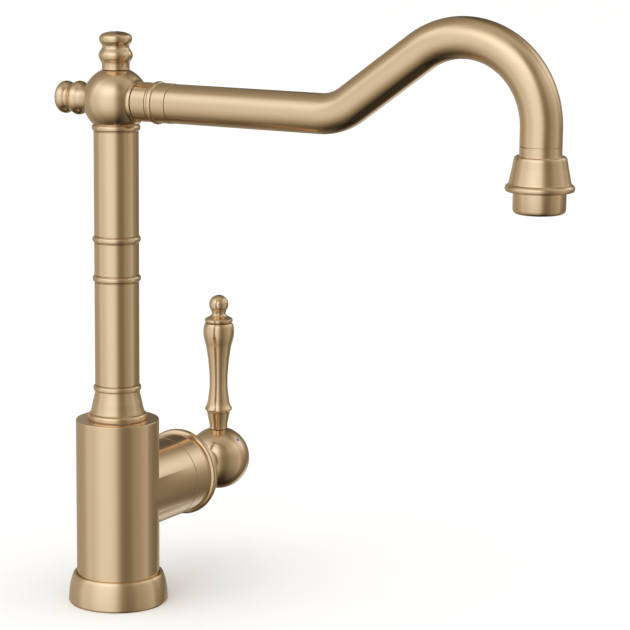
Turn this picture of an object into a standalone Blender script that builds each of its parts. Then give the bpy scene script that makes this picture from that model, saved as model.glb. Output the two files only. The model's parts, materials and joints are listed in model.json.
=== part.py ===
"""Single-lever kitchen mixer with a tall column, a ball head and a swan-neck spout.

The model is in metres with +Z up. The worktop's surface is the plane z = 0 and the column stands
on the Z axis. The spout runs along -Y and the handle's axis runs along +X. Everything above the
body's top turns with the spout. The handle turns about its own axis to mix, and tilts about a
cross pin to open.
"""

import math

import bmesh
import bpy
from mathutils import Matrix, Vector

MM = 0.001

# Fits
GAP = 0.3 * MM  # between pieces that seat on each other
RUNNING_GAP = 0.4 * MM  # between pieces that turn or slide on each other
OVERRUN = 2.0 * MM  # how far a cutter passes the face it opens

# Base
BASE_RADIUS = 30.0 * MM
BASE_HEIGHT = 17.6 * MM
BASE_LIP = 1.6 * MM
BASE_PLATE = 5.0 * MM
BASE_EDGE = 0.5 * MM
GASKET_WIDTH = 1.9 * MM
GASKET_DEPTH = 1.4 * MM
GASKET_INSET = 1.6 * MM

# Body
BODY_RADIUS = 25.0 * MM
BODY_TOP = 113.0 * MM
BODY_WALL = 2.7 * MM
BODY_TOP_WALL = 4.5 * MM
BODY_EDGE = 0.7 * MM
HANDLE_HEIGHT = 65.7 * MM
BRANCH_STEP = 0.1 * MM
BRANCH_LENGTH = 49.9 * MM
BRANCH_NECK_LENGTH = 11.3 * MM
BRANCH_NECK_WALL = 1.5 * MM

# Fixing under the worktop
WORKTOP = 30.0 * MM
STUD_RADIUS = 4.0 * MM
STUD_DEPTH = 15.0 * MM
STUD_BELOW = 66.0 * MM
STUD_OFFSET = 11.5 * MM
HORSESHOE_RADIUS = 23.0 * MM
HORSESHOE_SLOT = 12.5 * MM
HORSESHOE_WASHER = 2.5 * MM
HORSESHOE_GASKET = 3.0 * MM
NUT_ACROSS_CORNERS = 15.0 * MM
NUT_HEIGHT = 10.0 * MM
INLET_SIDE = 8.5 * MM
INLET_BACK = 5.0 * MM
INLET_BUSH_RADIUS = 6.2 * MM
INLET_SOCKET_RADIUS = 4.6 * MM
INLET_BUSH_HEIGHT = 18.0 * MM
CHANNEL_RADIUS = 3.2 * MM
RISER_CHANNEL_RADIUS = 3.7 * MM

# Cartridge, measured along the handle's axis from the column's axis
CARTRIDGE_RADIUS = 20.0 * MM
CARTRIDGE_BORE = 16.2 * MM
SEAT_FACE = 27.2 * MM
PORT_GASKET = 1.6 * MM
CARTRIDGE_BASE = 6.1 * MM
CERAMIC = 3.5 * MM
SLIDE_BLOCK = 4.2 * MM
SLIDE_RADIUS = 9.3 * MM
CARTRIDGE_SHOULDER = 26.6 * MM
CARTRIDGE_SHOULDER_WALL = 1.4 * MM
CARTRIDGE_NECK_RADIUS = 14.5 * MM
CARTRIDGE_NECK = 6.0 * MM
PORT_DROP = 5.0 * MM
PORT_RISE = 8.5 * MM
CARRIER_DRUM = 6.0 * MM
CARRIER_NECK_RADIUS = 11.5 * MM
CARRIER_NECK = 16.0 * MM
SLOT_HALF_WIDTH = 4.4 * MM
PIVOT_FROM_CARRIER = 17.0 * MM
PIN_RADIUS = 1.5 * MM
STEM_RADIUS = 4.0 * MM
STEM_TAIL_RADIUS = 2.6 * MM
LIFT_ANGLE = math.radians(20)

# Handle housing
BONNET_LENGTH = 13.1 * MM
RIM_PROUD = 2.9 * MM
RIM_LENGTH = 6.4 * MM
DOME_RADIUS = 22.0 * MM
DOME_WALL = 1.7 * MM
DOME_OPENING = math.radians(33)
BELL_WALL = 2.4 * MM
BELL_EDGE = math.radians(54)
HUB_NECK_RADIUS = 7.5 * MM

# Handle
HANDLE_BALL_RADIUS = 19.9 * MM
HANDLE_BALL_REACH = 47.3 * MM  # from the tilt pivot to the ball's centre
LEVER_LENGTH = 68.9 * MM
LEVER_FOOT_RADIUS = 5.75 * MM
LEVER_RING_RADIUS = 8.7 * MM
LEVER_WAIST_RADIUS = 5.75 * MM
LEVER_SHOULDER_RADIUS = 9.85 * MM
LEVER_CAP_RADIUS = 8.9 * MM
LEVER_CAP_NECK_RADIUS = 4.45 * MM
LEVER_KNOB_RADIUS = 6.15 * MM
LEVER_ROD_RADIUS = 2.4 * MM
SCREW_RADIUS = 2.3 * MM
DOT_RADIUS = 1.1 * MM
DOT_ANGLE = math.radians(42)

# Column
COLUMN_RADIUS = 13.3 * MM
COLUMN_WALL = 1.7 * MM
RING_PROUD = 1.05 * MM
RING_HALF = 1.95 * MM
SPIGOT_RADIUS = 14.0 * MM
SPIGOT_DEPTH = 15.5 * MM
SPIGOT_BORE = 8.6 * MM
GLIDE_RING = 0.9 * MM
GLIDE_RING_WIDTH = 2.6 * MM
FOOT_RADIUS = 18.0 * MM
FOOT_HEIGHT = 3.5 * MM
CONE_FOOT_RADIUS = 16.3 * MM
COLLAR_RISE = 19.2 * MM
LOWER_TUBE_RISE = 66.4 * MM
MIDDLE_TUBE_RISE = 23.5 * MM
UPPER_TUBE_RISE = 66.3 * MM
JOINT_LENGTH = 6.0 * MM
O_RING = 0.6 * MM
RISER_RADIUS = 6.0 * MM
RISER_WALL = 1.2 * MM

# Ball head and finials
HEAD_RADIUS = 19.5 * MM
HEAD_SEAT_LIP = 0.5 * MM
FINIAL_NECK_RADIUS = 8.1 * MM
FINIAL_LOBE_RADIUS = 10.05 * MM
FINIAL_WAIST_RADIUS = 7.9 * MM
FINIAL_TIP_RADIUS = 9.65 * MM
FINIAL_STUD_RADIUS = 2.4 * MM
FINIAL_STUD = 6.0 * MM

# Spout
SPOUT_RADIUS = 11.45 * MM
SPOUT_WALL = 1.5 * MM
SPOUT_BOSS_RADIUS = 11.55 * MM
SPOUT_BOSS_REACH = 17.0 * MM
SPOUT_SEAM = 0.6 * MM
SLEEVE_LENGTH = 9.6 * MM
FERRULE_BEAD = 5.0 * MM
FERRULE_LENGTH = 13.6 * MM
FERRULE_RADIUS = 11.75 * MM
NIPPLE_RADIUS = 8.4 * MM
NIPPLE_WALL = 2.0 * MM
SPOUT_STRAIGHT = 139.4 * MM
BEND_RADIUS = 33.5 * MM
RISE_ANGLE = math.radians(35.9)
RISE_LENGTH = 52.5 * MM
ARCH_RADIUS = 46.0 * MM
DROP_LENGTH = 7.1 * MM

# Outlet
OUTLET_NECK = 5.0 * MM
BELL_TOP_RADIUS = 14.1 * MM
BELL_FOOT_RADIUS = 16.9 * MM
BELL_HEIGHT = 14.6 * MM
BELL_BEAD_RADIUS = 18.7 * MM
BELL_BEAD = 4.9 * MM
NOZZLE_RADIUS = 14.15 * MM
NOZZLE_HEIGHT = 13.4 * MM
NOZZLE_EDGE = 2.6 * MM
NOZZLE_WALL = 3.2 * MM
NOZZLE_THREAD = 9.9 * MM
NOZZLE_THREAD_WALL = 1.6 * MM
INSERT_HEIGHT = 13.0 * MM
STREAM_HOLE = 1.0 * MM
SCREEN_THICKNESS = 1.2 * MM

# How finely round shapes are divided
COARSE = 14
FINE = 24
ARC_STEPS = 3

# Places worked out from the sizes above
BODY_BORE = BODY_RADIUS - BODY_WALL
CORE_RADIUS = BODY_BORE - GAP
BRANCH_RADIUS = BODY_RADIUS - BRANCH_STEP
BRANCH_BORE = CARTRIDGE_RADIUS + 2 * GAP
NECK_RADIUS = BRANCH_BORE + BRANCH_NECK_WALL
BONNET_START = BRANCH_LENGTH + GAP
BONNET_END = BONNET_START + BONNET_LENGTH
BONNET_BORE = max(NECK_RADIUS, DOME_RADIUS) + RUNNING_GAP
RIM_START = BONNET_END + GAP
RIM_END = RIM_START + RIM_LENGTH
CARTRIDGE_START = SEAT_FACE + PORT_GASKET + 2 * GAP
FIXED_DISC_START = CARTRIDGE_START + CARTRIDGE_BASE + GAP
MOVING_DISC_START = FIXED_DISC_START + CERAMIC + GAP
SLIDE_BLOCK_START = MOVING_DISC_START + CERAMIC + GAP
SLIDE_BLOCK_END = SLIDE_BLOCK_START + SLIDE_BLOCK
CARRIER_START = SLIDE_BLOCK_END + 0.5 * MM
CARRIER_NECK_START = CARRIER_START + CARRIER_DRUM
CARRIER_END = CARRIER_NECK_START + CARRIER_NECK
SHOULDER = CARTRIDGE_START + CARTRIDGE_SHOULDER
PIVOT = CARRIER_START + PIVOT_FROM_CARRIER
HANDLE_BALL = PIVOT + HANDLE_BALL_REACH
TAIL_END = SLIDE_BLOCK_START + 2.2 * MM
BELL_INNER = DOME_RADIUS + 0.5 * MM
BELL_OUTER = BELL_INNER + BELL_WALL
STEM_HOLE = STEM_RADIUS + GAP
SPIGOT_SOCKET = SPIGOT_RADIUS + RUNNING_GAP
SPIGOT_END = BODY_TOP - SPIGOT_DEPTH
FOOT = BODY_TOP + 0.5 * MM
COLLAR_RING = BODY_TOP + COLLAR_RISE
LOWER_RING = COLLAR_RING + LOWER_TUBE_RISE
UPPER_RING = LOWER_RING + MIDDLE_TUBE_RISE
NECK_RING = UPPER_RING + UPPER_TUBE_RISE
COLUMN_BORE = COLUMN_RADIUS - COLUMN_WALL
JOINT_RADIUS = COLUMN_BORE - GAP
HEAD_SEAT_RADIUS = COLUMN_RADIUS + HEAD_SEAT_LIP
HEAD_SEAT = NECK_RING + RING_HALF + GAP
HEAD = HEAD_SEAT + math.sqrt(HEAD_RADIUS**2 - HEAD_SEAT_RADIUS**2)
FINIAL_SEAT = math.sqrt(HEAD_RADIUS**2 - FINIAL_NECK_RADIUS**2)
SLEEVE_START = SPOUT_BOSS_REACH + SPOUT_SEAM
FERRULE_START = SLEEVE_START + SLEEVE_LENGTH + GAP
TUBE_START = FERRULE_START + FERRULE_LENGTH + GAP
SPOUT_BORE = SPOUT_RADIUS - SPOUT_WALL
NIPPLE_HOLE = NIPPLE_RADIUS + GAP
SPOUT_REACH = (
    SPOUT_STRAIGHT + (BEND_RADIUS + ARCH_RADIUS) * math.sin(RISE_ANGLE)
    + RISE_LENGTH * math.cos(RISE_ANGLE) + ARCH_RADIUS
)
CREST = (
    HEAD + BEND_RADIUS * (1 - math.cos(RISE_ANGLE)) + RISE_LENGTH * math.sin(RISE_ANGLE)
    + ARCH_RADIUS * (1 - math.cos(RISE_ANGLE))
)
TUBE_END = CREST - ARCH_RADIUS - DROP_LENGTH
OUTLET_TOP = TUBE_END - GAP
BELL_TOP = OUTLET_TOP - OUTLET_NECK
BELL_FOOT = BELL_TOP - BELL_HEIGHT
BELL_BOTTOM = BELL_FOOT - BELL_BEAD
NOZZLE_TOP = BELL_BOTTOM - GAP
NOZZLE_BOTTOM = NOZZLE_TOP - NOZZLE_HEIGHT
NOZZLE_BORE = NOZZLE_RADIUS - NOZZLE_WALL
INSERT_RADIUS = NOZZLE_BORE - GAP

ALONG_X = (0, math.pi / 2, 0)
ALONG_MINUS_Y = (math.pi / 2, 0, 0)
ALONG_Y = (-math.pi / 2, 0, 0)
UPRIGHT = (0, 0, 0)

for old in list(bpy.data.objects):
    bpy.data.objects.remove(old, do_unlink=True)

PARTS = bpy.data.collections.new("kitchen_mixer")
CUTTERS = bpy.data.collections.new("cutters")
bpy.context.scene.collection.children.link(PARTS)
bpy.context.scene.collection.children.link(CUTTERS)
CUTTERS.hide_render = True


def material(name, colour, roughness, metallic):
    """A plain surface with one colour."""
    made = bpy.data.materials.new(name)
    made.use_nodes = True
    shader = made.node_tree.nodes["Principled BSDF"]
    shader.inputs["Base Color"].default_value = (*colour, 1)
    shader.inputs["Roughness"].default_value = roughness
    shader.inputs["Metallic"].default_value = metallic
    return made


GOLD = material("satin_gold", (0.62, 0.46, 0.28), 0.32, 1.0)
BRASS = material("raw_brass", (0.68, 0.50, 0.22), 0.40, 1.0)
STEEL = material("zinc_steel", (0.60, 0.61, 0.62), 0.35, 1.0)
RUBBER = material("black_rubber", (0.03, 0.03, 0.03), 0.80, 0.0)
PLASTIC = material("white_plastic", (0.80, 0.80, 0.78), 0.50, 0.0)
CERAMIC_WHITE = material("alumina", (0.88, 0.87, 0.83), 0.25, 0.0)
BLUE = material("blue_enamel", (0.05, 0.08, 0.55), 0.30, 0.0)
RED = material("red_enamel", (0.55, 0.03, 0.03), 0.30, 0.0)


def empty(name, place, parent=None):
    """A joint's axis, which the moving pieces are parented to."""
    axis = bpy.data.objects.new(name, None)
    axis.empty_display_size = 0.01
    axis["place"] = place
    PARTS.objects.link(axis)
    settle(axis, place, UPRIGHT, parent)
    return axis


def settle(piece, place, turn, parent):
    """Puts an object at a place in the world, under its parent."""
    piece.rotation_euler = turn
    piece.location = Vector(place)
    if parent:
        piece.parent = parent
        piece.location = Vector(place) - Vector(parent["place"])


SWIVEL = empty("spout_axis", (0, 0, BODY_TOP))
TURN = empty("handle_turn_axis", (PIVOT, 0, HANDLE_HEIGHT))
LIFT = empty("handle_lift_axis", (PIVOT, 0, HANDLE_HEIGHT), TURN)
SLIDE = empty("disc_slide_axis", (MOVING_DISC_START, 0, HANDLE_HEIGHT), TURN)
HANDLE_ORIGIN = (0, 0, HANDLE_HEIGHT)


def finish_object(name, mesh, surface, place, turn, parent):
    """Links a mesh as a part, or as a cutter where it has no surface of its own."""
    piece = bpy.data.objects.new(name, mesh)
    if surface:
        mesh.materials.append(surface)
        PARTS.objects.link(piece)
    else:
        CUTTERS.objects.link(piece)
        piece.hide_render = True
        piece.display_type = "WIRE"
    settle(piece, place, turn, parent)
    return piece


def outline(*steps):
    """Points of a turned outline. A step is (radius, height), or (radius, height, bulge) for an arc
    to that point whose middle stands out from the chord by the bulge."""
    points = [steps[0][:2]]
    for step in steps[1:]:
        (r0, z0), (r1, z1) = points[-1], step[:2]
        bulge = step[2] if len(step) > 2 else 0
        if bulge:
            chord = math.hypot(r1 - r0, z1 - z0)
            radius = (chord**2 / 4 + bulge**2) / (2 * abs(bulge))
            half = math.asin(min(1, chord / 2 / radius))
            across = (-(z1 - z0) / chord, (r1 - r0) / chord)
            for i in range(1, ARC_STEPS):
                angle = half * (2 * i / ARC_STEPS - 1)
                along = 0.5 + radius * math.sin(angle) / chord
                out = math.copysign(radius * (math.cos(angle) - math.cos(half)), bulge)
                points.append((
                    r0 + (r1 - r0) * along + across[0] * out,
                    z0 + (z1 - z0) * along + across[1] * out,
                ))
        points.append((r1, z1))
    return points


def sphere_arc(radius, centre, start, end, steps):
    """Points of an outline on a ball, between two angles from the upward axis."""
    angles = [start + (end - start) * i / steps for i in range(steps + 1)]
    return [(radius * math.sin(a), centre + radius * math.cos(a)) for a in angles]


def turned(name, points, surface=None, place=(0, 0, 0), turn=UPRIGHT, parent=None, steps=FINE):
    """A turned piece: an outline, which runs down its outer side, swept about its axis. A cutter is
    turned by half a facet, so that its edges don't fall on those of the piece it cuts."""
    mesh = bpy.data.meshes.new(name)
    edges = [(i, i + 1) for i in range(len(points) - 1)]
    if points[0][0] > 0:
        edges.append((len(points) - 1, 0))
    start = 0 if surface else math.pi / steps
    across, along = math.cos(start), math.sin(start)
    mesh.from_pydata([(r * across, r * along, z) for r, z in points], edges, [])
    piece = finish_object(name, mesh, surface, place, turn, parent)
    screw = piece.modifiers.new("turn", "SCREW")
    screw.steps = screw.render_steps = steps
    screw.use_merge_vertices = True
    screw.merge_threshold = 0.00005
    screw.use_smooth_shade = True
    return piece


def rod(name, radius, low, high, surface=None, place=(0, 0, 0), turn=UPRIGHT, parent=None, steps=COARSE):
    """A plain round bar between two heights on its axis."""
    return turned(
        name, [(0, high), (radius, high), (radius, low), (0, low)], surface, place, turn, parent, steps
    )


def ring(name, inner, outer, low, high, surface=None, place=(0, 0, 0), turn=UPRIGHT, parent=None,
         steps=FINE):
    """A plain ring or tube between two heights on its axis."""
    points = [(outer, high), (outer, low), (inner, low), (inner, high)]
    return turned(name, points, surface, place, turn, parent, steps)


def torus(name, major, minor, height, surface, parent=None):
    """A round seal."""
    angles = [-2 * math.pi * i / 6 for i in range(6)]
    points = [(major + minor * math.cos(a), height + minor * math.sin(a)) for a in angles]
    return turned(name, points, surface, parent=parent)


def block(name, low, high, surface=None, place=(0, 0, 0), parent=None):
    """A box between two corners."""
    mesh = bpy.data.meshes.new(name)
    shape = bmesh.new()
    bmesh.ops.create_cube(shape, size=1)
    low, high = Vector(low), Vector(high)
    bmesh.ops.scale(shape, vec=high - low, verts=shape.verts)
    bmesh.ops.translate(shape, vec=(low + high) / 2, verts=shape.verts)
    shape.to_mesh(mesh)
    shape.free()
    return finish_object(name, mesh, surface, place, UPRIGHT, parent)


def boolean(piece, other, operation="DIFFERENCE"):
    """Cuts another shape from a piece, or joins it to the piece, and merges doubled corners."""
    step = piece.modifiers.new(other.name, "BOOLEAN")
    step.operation = operation
    step.solver = "EXACT"
    step.object = other
    weld = piece.modifiers.new(f"{other.name}_weld", "WELD")
    weld.merge_threshold = 0.00001


def cut(piece, *cutters):
    """Cuts several shapes from a piece, one after the other."""
    for cutter in cutters:
        boolean(piece, cutter)


def bead(radius, middle, half=RING_HALF, proud=RING_PROUD):
    """Points of a raised round band, from its upper edge to its lower one."""
    angles = [math.pi * i / 4 for i in range(5)]
    return [(radius + proud * math.sin(a), middle + half * math.cos(a)) for a in angles]


# Cutters that more than one piece shares
stud_hole = rod(
    "cut_stud", STUD_RADIUS + GAP, -OVERRUN, STUD_DEPTH + BASE_PLATE + 2 * GAP, place=(STUD_OFFSET, 0, 0)
)
inlet_holes = [
    rod(f"cut_inlet_{side:+d}", INLET_BUSH_RADIUS + GAP, -OVERRUN, INLET_BUSH_HEIGHT + 2 * GAP,
        place=(-INLET_BACK, side * INLET_SIDE, 0))
    for side in (-1, 1)
]
port_holes = [
    rod(f"cut_port_{side:+d}", CHANNEL_RADIUS, 1 * MM - INLET_BACK, FIXED_DISC_START + CERAMIC + OVERRUN,
        place=(0, side * INLET_SIDE, HANDLE_HEIGHT - PORT_DROP), turn=ALONG_X)
    for side in (-1, 1)
]
port_holes.append(
    rod("cut_port_out", CHANNEL_RADIUS, 0, FIXED_DISC_START + CERAMIC + OVERRUN,
        place=(0, 0, HANDLE_HEIGHT + PORT_RISE), turn=ALONG_X)
)
grub_height = SPIGOT_END + SPIGOT_DEPTH * 0.38
grub_hole = rod(
    "cut_grub", SCREW_RADIUS + GAP, SPIGOT_RADIUS - 1 * MM, BODY_RADIUS + OVERRUN,
    place=(0, 0, grub_height), turn=ALONG_Y,
)


def make_base():
    """The flared foot with its seal, which stands on the worktop."""
    bore = BODY_RADIUS + GAP
    flange = turned("base_flange", outline(
        (0, BASE_PLATE), (bore, BASE_PLATE), (bore, BASE_HEIGHT), (bore + BASE_LIP, BASE_HEIGHT),
        (BASE_RADIUS, 2 * BASE_EDGE, 0.9 * MM), (BASE_RADIUS, BASE_EDGE), (BASE_RADIUS - BASE_EDGE, 0),
        (0, 0),
    ), GOLD)
    outer = BASE_RADIUS - GASKET_INSET
    inner = outer - GASKET_WIDTH
    groove = ring("cut_gasket", inner - GAP, outer + GAP, -OVERRUN, GASKET_DEPTH + GAP)
    cut(flange, groove, stud_hole, *inlet_holes)
    ring("base_gasket", inner, outer, 0, GASKET_DEPTH, RUBBER)


def make_body():
    """The upright body with its side branch, and the brass core that leads the water."""
    low = BASE_PLATE + GAP
    shell = turned("body_shell", outline(
        (0, BODY_TOP), (BODY_RADIUS - BODY_EDGE, BODY_TOP),
        (BODY_RADIUS, BODY_TOP - BODY_EDGE, 0.2 * BODY_EDGE), (BODY_RADIUS, low), (0, low),
    ), GOLD, steps=FINE)
    branch = turned("join_branch", [
        (0, BRANCH_LENGTH + BRANCH_NECK_LENGTH), (NECK_RADIUS, BRANCH_LENGTH + BRANCH_NECK_LENGTH),
        (NECK_RADIUS, BRANCH_LENGTH), (BRANCH_RADIUS, BRANCH_LENGTH), (BRANCH_RADIUS, 0), (0, 0),
    ], place=HANDLE_ORIGIN, turn=ALONG_X)
    boolean(shell, branch, "UNION")
    glide_seat = SPIGOT_SOCKET + GLIDE_RING_WIDTH + 2 * GAP
    cut(
        shell,
        turned("cut_body_bore", [
            (0, BODY_TOP + OVERRUN), (glide_seat, BODY_TOP + OVERRUN), (glide_seat, BODY_TOP - GLIDE_RING),
            (SPIGOT_SOCKET, BODY_TOP - GLIDE_RING), (SPIGOT_SOCKET, BODY_TOP - BODY_TOP_WALL),
            (BODY_BORE, BODY_TOP - BODY_TOP_WALL), (BODY_BORE, 0), (0, 0),
        ]),
        rod("cut_branch_bore", BRANCH_BORE, 0, CARRIER_END + BODY_RADIUS, place=HANDLE_ORIGIN,
            turn=ALONG_X, steps=FINE),
        grub_hole,
    )
    core_top = BODY_TOP - BODY_TOP_WALL - GAP
    core = rod("waterway_core", CORE_RADIUS, low, core_top, BRASS, steps=FINE)
    outlet_level = HANDLE_HEIGHT + PORT_RISE
    inlet_level = HANDLE_HEIGHT - PORT_DROP
    channels = [
        rod(f"cut_riser_{side:+d}", RISER_CHANNEL_RADIUS, INLET_BUSH_HEIGHT, inlet_level + RISER_CHANNEL_RADIUS,
            place=(-INLET_BACK, side * INLET_SIDE, 0))
        for side in (-1, 1)
    ]
    cut(
        core,
        rod("cut_socket", SPIGOT_SOCKET, SPIGOT_END - 2 * GAP, core_top + OVERRUN, steps=FINE),
        rod("cut_outlet", CHANNEL_RADIUS + 1 * MM, outlet_level - CHANNEL_RADIUS - 1 * MM, core_top),
        stud_hole, *inlet_holes, *channels, *port_holes, grub_hole,
    )
    seat = rod("cartridge_seat", BRANCH_BORE - GAP, 0, SEAT_FACE, BRASS, HANDLE_ORIGIN, ALONG_X,
               steps=FINE)
    cut(seat, rod("cut_core_side", BODY_BORE, 0, BODY_TOP, steps=FINE), *port_holes)
    for side, name in ((1, "hot_inlet_bush"), (-1, "cold_inlet_bush")):
        place = (-INLET_BACK, side * INLET_SIDE, 0)
        ring(name, INLET_SOCKET_RADIUS, INLET_BUSH_RADIUS, GAP, INLET_BUSH_HEIGHT, BRASS, place,
             steps=COARSE)
    ring("glide_ring", SPIGOT_SOCKET + GAP, SPIGOT_SOCKET + GAP + GLIDE_RING_WIDTH,
         BODY_TOP - GLIDE_RING + GAP, BODY_TOP + 0.2 * MM, PLASTIC)
    grub = rod("swivel_grub_screw", SCREW_RADIUS, SPIGOT_RADIUS - 0.9 * MM, BODY_RADIUS - 0.8 * MM,
               STEEL, (0, 0, grub_height), ALONG_Y)
    cut(grub, rod("cut_grub_key", SCREW_RADIUS / 2, BODY_RADIUS - 4 * MM, BODY_RADIUS + OVERRUN,
                  place=(0, 0, grub_height), turn=ALONG_Y, steps=6))


def horseshoe(name, high, thickness, surface):
    """A plate with a stud hole and a slot that lets the supply hoses through."""
    plate = rod(name, HORSESHOE_RADIUS, high - thickness, high, surface, steps=FINE)
    low = high - thickness - OVERRUN
    slot_x = -INLET_BACK
    cut(
        plate,
        rod(f"cut_{name}_slot", HORSESHOE_SLOT, low, high + OVERRUN, place=(slot_x, 0, 0), steps=FINE),
        block(f"cut_{name}_mouth", (-HORSESHOE_RADIUS - OVERRUN, -HORSESHOE_SLOT, low),
              (slot_x - HORSESHOE_SLOT / 2, HORSESHOE_SLOT, high + OVERRUN)),
        rod(f"cut_{name}_stud", STUD_RADIUS + GAP, low, high + OVERRUN, place=(STUD_OFFSET, 0, 0)),
    )


def make_fixing():
    """What clamps the mixer to the worktop from below."""
    place = (STUD_OFFSET, 0, 0)
    rod("fixing_stud", STUD_RADIUS, -STUD_BELOW, STUD_DEPTH + BASE_PLATE, STEEL, place)
    gasket_top = -WORKTOP
    washer_top = gasket_top - HORSESHOE_GASKET - GAP
    nut_top = washer_top - HORSESHOE_WASHER - GAP
    horseshoe("horseshoe_gasket", gasket_top, HORSESHOE_GASKET, RUBBER)
    horseshoe("horseshoe_washer", washer_top, HORSESHOE_WASHER, STEEL)
    nut = rod("fixing_nut", NUT_ACROSS_CORNERS / 2, nut_top - NUT_HEIGHT, nut_top, BRASS, place, steps=6)
    cut(nut, rod("cut_nut", STUD_RADIUS + GAP, nut_top - NUT_HEIGHT - OVERRUN, nut_top + OVERRUN,
                 place=place))


def make_cartridge():
    """The ceramic cartridge: fixed parts first, then what turns, tilts and slides in it."""
    on_axis = {"place": HANDLE_ORIGIN, "turn": ALONG_X}
    gasket_start = SEAT_FACE + GAP
    gasket = rod("port_gasket", CARTRIDGE_BORE, gasket_start, gasket_start + PORT_GASKET, RUBBER,
                 **on_axis, steps=FINE)
    cut(gasket, *port_holes)
    base_end = CARTRIDGE_START + CARTRIDGE_BASE
    drum_end = CARRIER_NECK_START + RUNNING_GAP
    neck_bore = CARRIER_NECK_RADIUS + RUNNING_GAP + GAP
    neck_end = SHOULDER + CARTRIDGE_NECK
    housing = turned("cartridge_housing", [
        (0, base_end), (CARTRIDGE_BORE, base_end), (CARTRIDGE_BORE, drum_end), (neck_bore, drum_end),
        (neck_bore, neck_end), (CARTRIDGE_NECK_RADIUS, neck_end), (CARTRIDGE_NECK_RADIUS, SHOULDER),
        (CARTRIDGE_RADIUS, SHOULDER), (CARTRIDGE_RADIUS, CARTRIDGE_START), (0, CARTRIDGE_START),
    ], PLASTIC, **on_axis)
    cut(housing, *port_holes)
    disc = rod("fixed_disc", CARTRIDGE_BORE - RUNNING_GAP, FIXED_DISC_START, FIXED_DISC_START + CERAMIC,
               CERAMIC_WHITE, **on_axis, steps=FINE)
    cut(disc, *port_holes)
    moving = rod("moving_disc", SLIDE_RADIUS, MOVING_DISC_START, MOVING_DISC_START + CERAMIC,
                 CERAMIC_WHITE, **on_axis, parent=SLIDE, steps=FINE)
    cut(moving, rod("cut_mixing_recess", SLIDE_RADIUS * 0.7, MOVING_DISC_START - OVERRUN,
                    MOVING_DISC_START + CERAMIC / 2, **on_axis, steps=FINE))
    pocket = STEM_TAIL_RADIUS + 0.5 * MM
    turned("slide_block", [
        (0, TAIL_END - RUNNING_GAP), (pocket, TAIL_END - RUNNING_GAP), (pocket, SLIDE_BLOCK_END),
        (SLIDE_RADIUS, SLIDE_BLOCK_END), (SLIDE_RADIUS, SLIDE_BLOCK_START), (0, SLIDE_BLOCK_START),
    ], PLASTIC, **on_axis, parent=SLIDE)
    drum_radius = CARTRIDGE_BORE - RUNNING_GAP
    carrier = turned("stem_carrier", [
        (0, CARRIER_END), (CARRIER_NECK_RADIUS, CARRIER_END), (CARRIER_NECK_RADIUS, CARRIER_NECK_START),
        (drum_radius, CARRIER_NECK_START), (drum_radius, CARRIER_START), (0, CARRIER_START),
    ], PLASTIC, **on_axis, parent=TURN)
    lean = math.tan(LIFT_ANGLE)
    wide = STEM_RADIUS / math.cos(LIFT_ANGLE) + RUNNING_GAP
    behind = PIVOT - CARRIER_START
    ahead = CARRIER_END - PIVOT
    middle = PIVOT - 3 * MM
    pin_hole = rod("cut_pin", PIN_RADIUS + RUNNING_GAP, -CARTRIDGE_RADIUS, CARTRIDGE_RADIUS,
                   place=(PIVOT, 0, HANDLE_HEIGHT), turn=ALONG_Y)
    tail_swing = behind * lean + STEM_TAIL_RADIUS / math.cos(LIFT_ANGLE) + RUNNING_GAP
    cut(
        carrier,
        block("cut_tail_slot", (CARRIER_START - OVERRUN, -SLOT_HALF_WIDTH, -wide),
              (middle, SLOT_HALF_WIDTH, tail_swing), place=HANDLE_ORIGIN),
        block("cut_stem_slot", (middle - 1 * MM, -SLOT_HALF_WIDTH, -ahead * lean - wide),
              (CARRIER_END + OVERRUN, SLOT_HALF_WIDTH, 4 * MM * lean + wide), place=HANDLE_ORIGIN),
        pin_hole,
    )
    rod("pivot_pin", PIN_RADIUS, -CARRIER_NECK_RADIUS + 1 * MM, CARRIER_NECK_RADIUS - 1 * MM, STEEL,
        (PIVOT, 0, HANDLE_HEIGHT), ALONG_Y, TURN)
    stem_end = HANDLE_BALL - HANDLE_BALL_RADIUS * 0.4
    stem = turned("cartridge_stem", outline(
        (0, stem_end), (STEM_RADIUS, stem_end), (STEM_RADIUS, PIVOT - 5 * MM),
        (STEM_TAIL_RADIUS, PIVOT - 7 * MM), (STEM_TAIL_RADIUS, TAIL_END + STEM_TAIL_RADIUS / 2),
        (0.6 * STEM_TAIL_RADIUS, TAIL_END), (0, TAIL_END),
    ), BRASS, **on_axis, parent=LIFT, steps=COARSE)
    cut(stem, pin_hole)
    nut_start = SHOULDER + GAP
    ring("retaining_nut", CARTRIDGE_NECK_RADIUS + GAP, BRANCH_BORE - GAP, nut_start,
         BRANCH_LENGTH + BRANCH_NECK_LENGTH - GAP, BRASS, **on_axis)


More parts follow.
